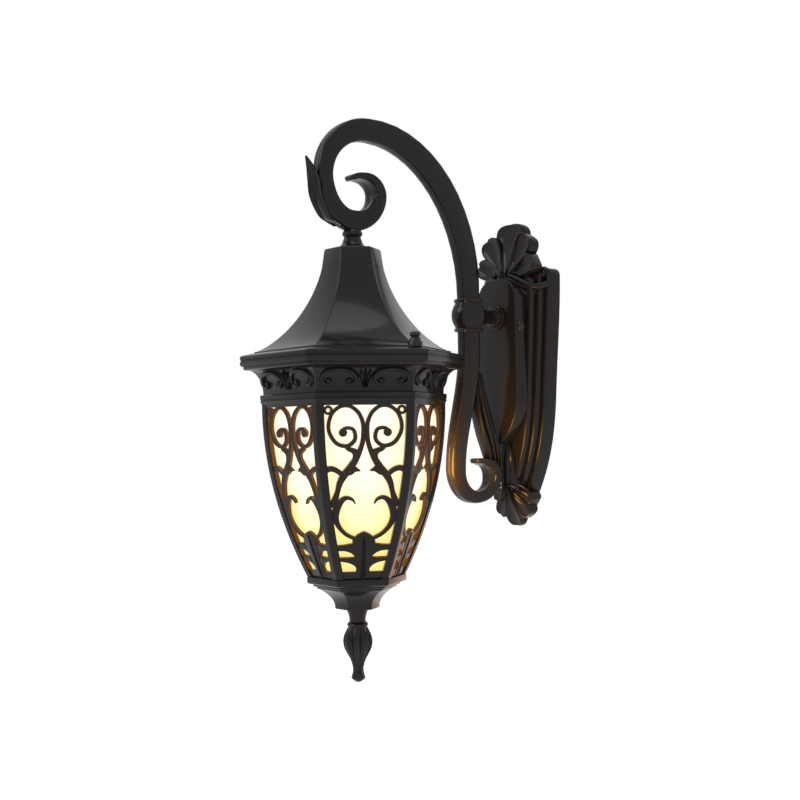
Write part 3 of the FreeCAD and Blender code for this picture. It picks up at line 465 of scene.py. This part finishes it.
for side, half in ((1, "right"), (-1, "left")):
    arm = bmesh.new()
    strap(arm, half_section, scroll[::-1] + post + lean + hook, side)
    strap(arm, leaf_section, smooth_line(bud_leaf, 6), side)
    for rib in [bud_lobe] + hook_ribs:
        strap(arm, leaf_rib, smooth_line(rib, 6), side)
    knuckle = bmesh.new()
    turned(knuckle, knuckle_profile, (0, post_y, 0), (0, 0, 1), 40)
    for vert in knuckle.verts:
        flat = ring_flat if abs(vert.co.z) > ring_start else knuckle_flat
        vert.co.x = max(-flat, min(flat, vert.co.x))
    for y, z, radius in leaf_curls:
        ball(knuckle, (0, y, z), radius)
    bmesh.ops.bisect_plane(knuckle, geom=knuckle.verts[:] + knuckle.edges[:] + knuckle.faces[:],
                           plane_co=(0, 0, 0), plane_no=(-side, 0, 0), clear_outer=True)
    bmesh.ops.holes_fill(knuckle, edges=knuckle.edges)
    join(arm, knuckle)
    finish("arm_casting_" + half, arm, black_paint, "black_paint", "arm_" + half + "_half")

# Neck: a turned hourglass coupling on the hanger tube, cast and painted.
# The strap's foot rests in its collar and its flange sits on the roof's flat top.
roof_top = 47.4
neck_profile = [(bolt_bore, 0.0), (12.6, 0.0), (12.8, 0.7), (12.2, 1.5), (10.6, 2.4), (9.2, 3.8), (8.1, 5.6),
                (7.6, 7.6), (6.7, 9.4), (7.4, 10.8), (8.0, 11.4), (8.3, 12.3), (8.2, 13.4), (7.6, 14.4),
                (6.8, 15.6), (bolt_bore, 15.6)]
neck = bmesh.new()
bored(neck, neck_profile, (0, reach, roof_top), (0, 0, 1))
finish("neck_casting", neck, black_paint, "black_paint", "neck")

# Roof: a six-sided bell cast in one piece with its eave, open below.
# It hangs on the tube through its flat top, and the lantern body hangs from its eave.
roof_height, roof_radius, eave_radius, eave_height = 86.1, 23.2, 91.8, 8.5
roof_wall, roof_lid, flange_radius = 2.6, 5.0, 80.0
eave_top = roof_top - roof_height
eave_foot = eave_top - eave_height


def bell(share):
    """Corner radius of the roof at a share of its height below the top."""
    return roof_radius + (eave_radius - roof_radius) * (1 - (1 - share ** 1.7) ** 0.6)


shares = [math.sin(math.pi / 2 * k / 26) for k in range(27)]
roof_profile = [(bolt_bore, roof_top), (roof_radius - 0.8, roof_top), (roof_radius, roof_top - 0.8)]
roof_profile += [(bell(s), roof_top - roof_height * s) for s in shares[3:] if bell(s) < flange_radius - 0.5]
flange_top = roof_profile[-1][1] - 0.5
roof_profile += [(flange_radius, flange_top), (flange_radius + 0.5, flange_top - 1.0),
                 (eave_radius - 1.0, eave_top + 0.2), (eave_radius, eave_top - 0.6),
                 (eave_radius, eave_top - 3.2), (eave_radius - 0.7, eave_top - 3.6),
                 (eave_radius - 0.7, eave_top - 4.2), (eave_radius, eave_top - 4.6),
                 (eave_radius, eave_top - 7.0), (eave_radius - 1.0, eave_foot),
                 (eave_radius - roof_wall, eave_foot)]
inside = [(bell(s) - roof_wall, roof_top - roof_height * s - roof_wall) for s in shares[6:]]
roof_profile += [(r, min(z, roof_top - roof_lid)) for r, z in inside[::-1]]
roof_profile.append((bolt_bore, roof_top - roof_lid))
roof = bmesh.new()
bored(roof, roof_profile, (0, reach, 0), (0, 0, 1), 6)


def ridges(bm):
    """The edges of a six-sided piece that run up and down on its corners, outside its bore."""
    return [e for e in bm.edges if abs(e.verts[0].co.z - e.verts[1].co.z) > 0.05
            and min(v.co.x ** 2 + (v.co.y - reach) ** 2 for v in e.verts) > 8.0 ** 2]


def round_edges(bm, edges, offset, segments):
    bmesh.ops.bevel(bm, geom=edges, offset=offset, segments=segments, profile=0.5, affect="EDGES",
                    material=-1)


round_edges(roof, ridges(roof), 0.9, 3)
finish("roof_casting", roof, black_paint, "black_paint", "roof")

# Cap nuts: two blackened acorn nuts with a waist, on the studs that come up through the eave.
# They hold the lantern body under the roof, and undo to let the bulb be changed.
cap_place, cap_foot = 77.0, -33.2
cap_profile = [(5.6, -3.0), (5.6, 0.4), (5.2, 1.0), (4.4, 1.0), (4.2, 1.4), (4.2, 3.2), (3.8, 3.8),
               (3.0, 4.2), (3.2, 4.7), (4.0, 5.4), (4.2, 6.4), (3.9, 7.5), (3.0, 8.3), (1.6, 8.8), (0.3, 8.9)]
nuts = bmesh.new()
for side in (-1, 1):
    turned(nuts, cap_profile, (side * cap_place, reach, cap_foot), (0, 0, 1), 24)
finish("cap_nut_pair", nuts, dark_fixings, "dark_fixings", "cap_nuts")

# Lantern body: one pierced aluminium casting with a crown, six corner ribs and filigree sides.
# The crown's cove carries a frieze of scrolls and fans; the paint inside has a painted amber glow that stands
# for the shade's light.
cage_top, cage_foot, cage_top_radius, cage_foot_radius = -77.5, -214.6, 74.8, 40.4
cage_wall, rib_half, window_top, window_foot = 6.0, 6.0, -80.0, -208.5
cove_top, cove_foot, cove_top_radius, cove_foot_radius = -50.2, -70.0, 86.0, 73.4
filigree_recess, filigree_depth, frieze_rise, crown_wall, rim_room = 1.0, 3.0, 2.4, 3.0, 70.4
apothem, stud_bore, floor_wall = math.sqrt(3) / 2, 3.1, 4.0


def cage_corner(z):
    """Corner radius of the cage at a height."""
    share = (cage_top - z) / (cage_top - cage_foot)
    return cage_top_radius - (cage_top_radius - cage_foot_radius) * share ** 2


def cove_corner(z):
    """Corner radius of the crown's cove at a height."""
    share = (cove_top - z) / (cove_top - cove_foot)
    hollow = 1 - math.sqrt(max(0.0, 1 - (1 - share) ** 2))
    return cove_foot_radius + (cove_top_radius - cove_foot_radius) * hollow


def on_panel(across, down):
    """Place on the front side of the cage, by shares of the window's half width and height."""
    z = window_top + (window_foot - window_top) * down
    return Vector(((cage_corner(z) / 2 - rib_half) * across, filigree_recess - apothem * cage_corner(z), z))


def on_frieze(across, down):
    """Place on the front side of the cove, by shares of its half width and height."""
    z = cove_top + (cove_foot - cove_top) * down
    return Vector((cove_foot_radius / 2 * across, -apothem * cove_corner(z), z))


def outwards(place, across, down):
    """The way out of a side's surface."""
    up = place(across, down - 0.01) - place(across, down + 0.01)
    return Vector((0, up.y, up.z)).cross(Vector((1, 0, 0))).normalized() * -1


def stroke(bm, place, section, knots, depth):
    """A stroke of the carving, mirrored: knots are (across, down, half width)."""
    for side in (-1, 1):
        line = smooth_line([(side * a, d, w) for a, d, w in knots], 5)
        points = [place(k[0], k[1]) for k in line]
        normals = [outwards(place, k[0], k[1]) for k in line]
        sweep(bm, section, stations(points, normals, [k[2] for k in line], [depth] * len(line)))


def petal(bm, place, knots, back, front, round_off, sides=(-1, 1)):
    """A flat leaf of the carving on one side or both: knots (across, down) round its edge."""
    for side in sides:
        edge = smooth_line([(side * a, d) for a, d in knots + knots[:1]], 4)[:-1]
        leaf = bm.faces.new([bm.verts.new(place(*k) + outwards(place, *k) * back) for k in edge])
        out = outwards(place, *knots[0])
        grown = bmesh.ops.extrude_face_region(bm, geom=[leaf])["geom"]
        top = [part for part in grown if isinstance(part, bmesh.types.BMVert)]
        bmesh.ops.translate(bm, vec=out * (front - back), verts=top)
        rim = [e for part in grown if isinstance(part, bmesh.types.BMFace) for e in part.edges]
        round_edges(bm, rim, round_off, 2)


body = bmesh.new()
stroke_section = [(-1.0, -1.0), (-1.0, -0.3), (-0.62, 0.0), (0.62, 0.0), (1.0, -0.3), (1.0, -1.0)]
round_stroke = [(-1.0, -0.6), (-0.9, 0.3), (-0.5, 0.85), (0.0, 1.0), (0.5, 0.85), (0.9, 0.3), (1.0, -0.6)]
stem = [(-0.98, 0.606, 3.0), (-0.86, 0.556, 2.5), (-0.78, 0.516, 2.0), (-0.692, 0.4615, 2.4),
        (-0.566, 0.416, 2.9), (-0.394, 0.371, 2.9), (-0.237, 0.317, 2.5), (-0.13, 0.265, 2.0),
        (-0.065, 0.215, 1.8), (-0.045, 0.165, 1.8),
        (-0.05, 0.12, 1.7), (-0.1, 0.075, 1.6), (-0.2, 0.036, 1.6), (-0.39, 0.006, 1.5), (-0.63, 0.012, 1.5),
        (-0.83, 0.06, 1.5), (-0.9, 0.145, 1.5), (-0.74, 0.222, 1.6), (-0.46, 0.243, 1.6), (-0.26, 0.205, 1.6),
        (-0.29, 0.148, 1.5), (-0.46, 0.136, 1.4), (-0.58, 0.15, 1.3)]
side_scroll = [(-0.285, 0.588, 0.5), (-0.361, 0.563, 1.1), (-0.535, 0.552, 1.6), (-0.714, 0.575, 2.4),
               (-0.88, 0.629, 3.0), (-0.92, 0.679, 2.5), (-0.837, 0.728, 1.8), (-0.657, 0.769, 1.5),
               (-0.4, 0.795, 1.4), (-0.2, 0.806, 1.4)]
side_curl = [(-0.588, 0.418, 2.0), (-0.743, 0.389, 2.0), (-0.896, 0.376, 2.2), (-1.04, 0.384, 2.4)]
for knots in (stem, side_scroll, side_curl):
    stroke(body, on_panel, stroke_section, knots, filigree_depth)
thorn = [(-0.33, 0.345), (-0.22, 0.37), (-0.12, 0.391), (-0.25, 0.396), (-0.38, 0.415), (-0.48, 0.41)]
bract = [(-0.527, 0.244), (-0.34, 0.252), (-0.19, 0.268), (-0.25, 0.305), (-0.33, 0.325), (-0.33, 0.29),
         (-0.48, 0.268)]
bud = [(-0.05, 0.76), (-0.28, 0.782), (-0.43, 0.818), (-0.38, 0.85), (-0.34, 0.9), (-0.3, 0.94),
       (-0.32, 0.99), (-0.36, 1.045)]
bud_rib = [(0.0, 0.78, 0.4), (0.0, 0.85, 1.4), (0.0, 0.93, 1.9), (0.0, 1.045, 2.4)]
upper_leaflet = [(-1.06, 0.84), (-0.75, 0.838), (-0.36, 0.837), (-0.3, 0.918), (-0.4, 0.902), (-0.52, 0.886),
                 (-0.74, 0.873), (-1.06, 0.868)]
lower_leaflet = [(-1.06, 0.916), (-0.6, 0.917), (-0.3, 0.92), (-0.28, 0.984), (-0.42, 0.964), (-0.64, 0.948),
                 (-0.89, 0.939), (-1.06, 0.935)]
for knots in (thorn, bract, upper_leaflet, lower_leaflet):
    petal(body, on_panel, knots, -filigree_depth, 0.0, 0.45)
petal(body, on_panel, bud + [(-a, d) for a, d in bud[::-1]], -filigree_depth, 0.2, 0.5, (1,))
stroke(body, on_panel, round_stroke, bud_rib, 1.0)
eye_profile = [(3.2, -filigree_depth), (3.2, -0.6), (2.6, 0.0), (0.3, 0.0)]
eye_across, eye_down, link_across, link_down, link_radius, link_half = 0.553, 0.163, 0.9, 0.03, 2.6, 1.1
link_turns = [k * math.pi / 8 for k in range(17)]
for side in (-1, 1):
    turned(body, eye_profile, on_panel(side * eye_across, eye_down), outwards(on_panel, 0, eye_down), 20)
    centre = on_panel(side * link_across, link_down)
    points = [centre + Vector((link_radius * math.cos(a), 0, link_radius * math.sin(a))) for a in link_turns]
    normals = [outwards(on_panel, 0, link_down)] * len(points)
    halves, depths = [link_half] * len(points), [filigree_depth] * len(points)
    sweep(body, stroke_section, stations(points, normals, halves, depths))

frieze_scroll = [(-0.7, 0.56, 0.8), (-0.735, 0.68, 1.2), (-0.82, 0.7, 1.5), (-0.9, 0.56, 1.7),
                 (-0.89, 0.38, 1.8), (-0.79, 0.2, 1.9), (-0.55, 0.12, 2.1), (-0.31, 0.2, 1.9),
                 (-0.21, 0.38, 1.8), (-0.2, 0.56, 1.7), (-0.28, 0.7, 1.5), (-0.365, 0.68, 1.2),
                 (-0.4, 0.56, 0.8)]
stroke(body, on_frieze, round_stroke, frieze_scroll, frieze_rise)
for across in (0.765, -0.765, 0.335, -0.335):
    ball(body, on_frieze(across, 0.57), 2.3)
for lean_out, short in ((0.0, 0.0), (0.085, 0.06), (0.16, 0.16)):
    fan_leaf = [(lean_out * 0.2, 0.84, 0.35), (lean_out * 0.45, 0.6, 0.75),
                (lean_out * 0.8, 0.36 + short * 0.5, 1.05), (lean_out * 1.25, 0.12 + short, 0.4)]
    stroke(body, on_frieze, round_stroke, fan_leaf, frieze_rise)

rib_leg, rib_in = Vector((-0.5, apothem)) * rib_half, Vector((-apothem, -0.5)) * cage_wall * apothem
rib_edge = [Vector((-0.5, 0.0)), Vector((-0.35, 0.55)), rib_leg * 0.9]
rib_edge += [rib_leg * 0.99 + rib_in * 0.12, rib_leg + rib_in, Vector((-cage_wall, 0.0))]
corner_rib = rib_edge + [Vector((p.x, -p.y)) for p in rib_edge[-2:0:-1]]
rib_heights = [cage_top + (cage_foot - cage_top) * k / 24 for k in range(25)]
sweep(body, corner_rib, [Matrix.Translation((cage_corner(z), 0, z)) for z in rib_heights])
bmesh.ops.spin(body, geom=body.verts[:] + body.edges[:] + body.faces[:], cent=(0, 0, 0), axis=(0, 0, 1),
               angle=math.radians(300), steps=5, use_duplicate=True)
bmesh.ops.translate(body, vec=(0, reach, 0), verts=body.verts)
cove = [cove_top + (cove_foot - cove_top) * (1 - math.cos(math.pi / 2 * k / 14)) for k in range(15)]
crown_profile = [(83.0, eave_foot), (89.0, eave_foot), (89.0, eave_foot - 1.9), (88.4, eave_foot - 2.6),
                 (87.2, eave_foot - 3.0)]
crown_profile += [(cove_corner(z), z) for z in cove]
crown_profile += [(75.4, cove_foot), (76.0, -70.6), (76.0, -73.6), (75.5, -74.0), (75.5, -74.7),
                  (76.0, -75.1), (cage_top_radius, cage_top), (74.3, window_top), (rim_room, window_top)]
crown_profile += [(max(cove_corner(z) - crown_wall, rim_room), z) for z in cove[::-1]]
floor_corner, floor_top = cage_corner(window_foot), cage_foot + floor_wall
floor_profile = [(stud_bore, cage_foot), (39.0, cage_foot), (floor_corner - 1.4, window_foot),
                 (floor_corner - cage_wall, window_foot), (35.0, floor_top), (stud_bore, floor_top)]
for profile in (crown_profile, floor_profile):
    band = bmesh.new()
    bored(band, profile, (0, reach, 0), (0, 0, 1), 6)
    round_edges(band, ridges(band), 0.5, 2)
    join(body, band)


def round_axis(place):
    """A place seen from the lantern's axis: to the right, behind, up, and its angle from a side's middle."""
    right, back, up = (place.node("ShaderNodeSeparateXYZ", {}, {"Vector": place}, k) for k in range(3))
    behind = back - reach * mm
    angle = behind.math("ARCTAN2", right, behind)
    return right, behind, up, angle.math("PINGPONG", angle, math.radians(30))


# Painted glow: the cage's faces that lie behind the filigree inside the windows emit amber, standing for the
# shade's light falling on them.
body_paint_with_painted_glow, body_shader, body_place = paint_finish("black_paint_with_painted_glow")
spread, deep, height, angle = round_axis(body_place)
square = spread * spread + deep * deep
distance = square.math("SQRT", square)
drop = (cage_top * mm - height) / ((cage_top - cage_foot) * mm)
front = apothem * mm * (cage_top_radius - (cage_top_radius - cage_foot_radius) * drop * drop)
sunk = front - distance * angle.math("COSINE", angle)
behind = sunk.ramp((filigree_recess + 0.1) * mm, (filigree_recess + 1.0) * mm)
upper = height.ramp(-170 * mm, -110 * mm) * sunk.ramp(0.4 * mm, filigree_recess * mm)
in_window = height.ramp(cage_foot * mm, window_foot * mm) * height.ramp(cage_top * mm, -82 * mm)
painted_glow = in_window * (behind * 0.9 + upper * 0.1)
feed(body_shader.inputs["Emission Color"], painted_glow.blend((0, 0, 0, 1), (0.15, 0.05, 0.005, 1)))
body_shader.inputs["Emission Strength"].default_value = 1.0
finish("lantern_casting", body, body_paint_with_painted_glow, "black_paint", "lantern_body")

# Shade: a six-sided opal glass sleeve inside the lantern, hung by its rim under the crown.
# The lamp in it is lit: white in the middle of each side, warm yellow to the foot and corners.
shade_gap, shade_wall, shade_rim, shade_top, shade_foot = 6.8, 2.2, 70.2, cage_top + 1.5, cage_foot + 5.0
shade_heights = [cage_top + (shade_foot - cage_top) * k / 30 for k in range(31)]
shade_outside = [(cage_corner(z) - shade_gap, z) for z in shade_heights]
shade_inside = [(r - shade_wall, z) for r, z in shade_outside]
shade_profile = [(shade_rim, cage_top), (shade_rim, shade_top), (shade_inside[0][0], shade_top)]
shade_profile += shade_inside + shade_outside[::-1]
shade = bmesh.new()
bored(shade, shade_profile, (0, reach, 0), (0, 0, 1), 6)
round_edges(shade, ridges(shade), 2.0, 4)
opal, shader, place = new_finish("opal_glass")
height, angle = round_axis(place)[2:]
corner = angle / math.radians(30)
warm = height.ramp(-100 * mm, -200 * mm) * 0.85 + corner * corner * 0.5 + place.noise(60, 2) * 0.06
warm = warm.math("MINIMUM", warm, 1.0)
surface(shader, warm.blend((0.3, 0.29, 0.25, 1), (0.27, 0.24, 0.12, 1)), 0.35 + place.noise(90, 2) * 0.1,
        place.noise(300, 1), 0.00003)
feed(shader.inputs["Emission Color"], warm.blend((1.0, 0.98, 0.84, 1), (0.92, 0.78, 0.26, 1)))
shader.inputs["Emission Strength"].default_value = 1.0
finish("shade_glass", shade, opal, "opal_shade", "shade")

# Base cup: a stepped six-sided foot, cast and painted, under the lantern's floor.
# The stud of the finial clamps it to the body.
cup_foot, waist_top, waist_foot, waist_radius, waist_flare = -241.4, -225.0, -240.4, 18.2, 13.0
cup_profile = [(stud_bore, cage_foot), (39.6, cage_foot), (40.4, -215.2), (40.4, -219.0), (39.9, -220.2),
               (38.8, -220.8), (36.0, -220.8), (35.6, -221.2), (35.4, -222.6), (34.8, -223.0), (33.0, -223.0),
               (32.6, -223.4), (32.4, -224.6), (31.8, waist_top)]
for share in [k / 14 for k in range(15)]:
    waist = waist_radius + waist_flare * (1 - share) ** 2.2
    cup_profile.append((waist, waist_top + (waist_foot - waist_top) * share))
cup_profile += [(18.0, -241.2), (17.2, cup_foot), (stud_bore, cup_foot)]
cup = bmesh.new()
bored(cup, cup_profile, (0, reach, 0), (0, 0, 1), 6)
round_edges(cup, ridges(cup), 0.7, 3)
finish("cup_casting", cup, black_paint, "black_paint", "base_cup")

# Finial: a turned drop cast with eight flutes and a small bell end, painted.
# It screws onto the stud and closes the lantern's foot.
finial_length, finial_radius, flute_depth, lobes = 59.1, 12.0, 2.6, 8
finial_rows = [(0.0, 0.62, 0), (0.01, 0.7, 0), (0.04, 0.69, 0), (0.09, 0.6, 0), (0.14, 0.555, 0),
               (0.18, 0.56, 0), (0.195, 0.66, 0), (0.215, 0.71, 0), (0.235, 0.69, 0), (0.25, 0.64, 0.1),
               (0.285, 0.74, 0.5), (0.34, 0.88, 0.8), (0.39, 0.97, 1), (0.44, 1.0, 1), (0.49, 0.98, 1),
               (0.55, 0.9, 0.9), (0.61, 0.74, 0.7), (0.67, 0.57, 0.5), (0.73, 0.44, 0.35), (0.8, 0.36, 0.25),
               (0.86, 0.37, 0.2), (0.91, 0.44, 0.2), (0.935, 0.475, 0.1), (0.95, 0.44, 0), (0.97, 0.33, 0),
               (0.99, 0.2, 0), (1.0, 0.04, 0)]
finial = bmesh.new()
rings = turned(finial, [(finial_radius * r, finial_length * h) for h, r, flute in finial_rows],
               (0, reach, cup_foot), (0, 0, -1), 6 * lobes)
axis = Matrix.Translation((0, -reach, 0))
for ring, (h, r, flute) in zip(rings, finial_rows):
    for vert in ring:
        turn = math.atan2(vert.co.y - reach, vert.co.x) * lobes
        shrink = 1 - flute * flute_depth / (finial_radius * max(r, 0.3)) * (1 - math.cos(turn)) ** 2 / 4
        bmesh.ops.scale(finial, vec=(shrink, shrink, 1), verts=[vert], space=axis)
finish("finial_casting", finial, black_paint, "black_paint", "finial")

# Hidden fixings: the wall bracket, bolts, studs, tubes and nuts, in zinc-plated steel.
# They hold the castings together from inside, and keep the shapes of the construction.
zinc = fixing_finish("zinc_steel", (0.34, 0.34, 0.35, 1), (0.5, 0.49, 0.47, 1), 1.0, 0.3)


def dress(material, *names):
    """Gives pieces that keep their construction's shape a finish."""
    for name in names:
        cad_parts[name].data.materials.clear()
        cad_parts[name].data.materials.append(material)


dress(zinc, "wall_bracket", "boss_bolt", "boss_nut", "arm_screws", "cap_studs", "foot_stud", "foot_nut",
      "hanger_tube", "hanger_nut")

# Lampholder: a white ceramic holder inside the shade.
# It is screwed to the end of the hanger tube, where the wires come out.
ceramic, shader, place = new_finish("white_ceramic")
speckle = place.noise(250, 3)
surface(shader, speckle.blend((0.78, 0.77, 0.74, 1), (0.86, 0.85, 0.82, 1)), 0.12 + speckle * 0.1,
        speckle, 0.00002)
dress(ceramic, "lampholder")

# Bulb: a frosted glass bulb, lit.
# It screws into the lampholder from below.
frosted, shader, place = new_finish("frosted_bulb")
speckle = place.noise(500, 2)
surface(shader, speckle.blend((0.85, 0.82, 0.74, 1), (0.92, 0.9, 0.84, 1)), 0.4 + speckle * 0.15,
        speckle, 0.00002)
feed(shader.inputs["Emission Color"], speckle.blend((1.0, 0.86, 0.6, 1), (1.0, 0.9, 0.68, 1)))
shader.inputs["Emission Strength"].default_value = 1.0
dress(frosted, "bulb")

# Studio: a white backdrop, a pale floor well below the lamp and soft lights round it.
# The camera stands where the photo was taken from.
scene = bpy.context.scene
scene.view_settings.view_transform = "Standard"
camera_data = bpy.data.cameras.new("camera")
camera_data.lens = 56.16
camera_data.sensor_width = 36.0
camera = bpy.data.objects.new("camera", camera_data)
azimuth, pitch, roll = math.radians(50.63), math.radians(-1.70), math.radians(-0.85)
back = Vector((math.sin(azimuth) * math.cos(pitch), -math.cos(azimuth) * math.cos(pitch), math.sin(pitch)))
right = Vector((math.cos(azimuth), math.sin(azimuth), 0))
up = back.cross(right)
right, up = right * math.cos(roll) + up * math.sin(roll), up * math.cos(roll) - right * math.sin(roll)
camera_spot = Matrix.Translation((0.801, -0.8099, -0.1048))
camera.matrix_world = camera_spot @ Matrix((right, up, back)).transposed().to_4x4()
scene.collection.objects.link(camera)
scene.camera = camera

world = bpy.data.worlds.new("studio")
scene.world = world
world.use_nodes = True
nodes = world.node_tree.nodes
ray = nodes.new("ShaderNodeLightPath").outputs
seen = Value(ray["Is Camera Ray"]) + Value(ray["Is Glossy Ray"]) + Value(ray["Is Transmission Ray"])
backdrop = seen.math("MINIMUM", seen, 1.0).blend((0.3, 0.3, 0.3, 1), (1, 1, 1, 1))
feed(nodes["Background"].inputs["Color"], backdrop)
nodes["Background"].inputs["Strength"].default_value = 1.0

floor_height = -0.62
floor = bmesh.new()
bmesh.ops.create_grid(floor, x_segments=1, y_segments=1, size=6.0,
                      matrix=Matrix.Translation((0, 0, floor_height)))
floor_mesh = bpy.data.meshes.new("floor")
floor.to_mesh(floor_mesh)
floor.free()
floor_finish, shader, place = new_finish("pale_floor")
surface(shader, place.noise(3, 2).blend((0.9, 0.9, 0.9, 1), (0.94, 0.94, 0.94, 1)), 0.6,
        place.noise(200, 1), 0.00002)
shader.inputs["Emission Color"].default_value = (1, 1, 1, 1)
shader.inputs["Emission Strength"].default_value = 0.72
floor_mesh.materials.append(floor_finish)
floor_object = bpy.data.objects.new("floor", floor_mesh)
scene.collection.objects.link(floor_object)

for name, spot, aim, size, watts, tint in (
        ("key", (-0.6, -1.9, 1.2), (0, -0.18, 0), 1.4, 20, (1, 0.98, 0.96)),
        ("side", (1.9, -0.5, 0.5), (0, -0.1, -0.05), 1.2, 1.5, (1, 1, 1)),
        ("top", (0.2, -0.4, 1.9), (0, -0.15, 0), 1.2, 8, (1, 1, 1)),
        ("glow", (0.018, -0.126, -0.13), (0.03, 0, -0.1), 0.045, 0.24, (1, 0.5, 0.08)),
        ("wall_glow", (0.0, -0.005, -0.28), (0.02, -0.2, -0.2), 0.16, 0.08, (1, 0.42, 0.13))):
    lamp = bpy.data.lights.new(name, "AREA")
    lamp.shape = "DISK"
    lamp.size = size
    lamp.energy = watts
    lamp.color = tint
    light = bpy.data.objects.new(name, lamp)
    facing = (Vector(spot) - Vector(aim)).to_track_quat("Z", "Y").to_matrix().to_4x4()
    light.matrix_world = Matrix.Translation(spot) @ facing
    light.visible_camera = False
    scene.collection.objects.link(light)
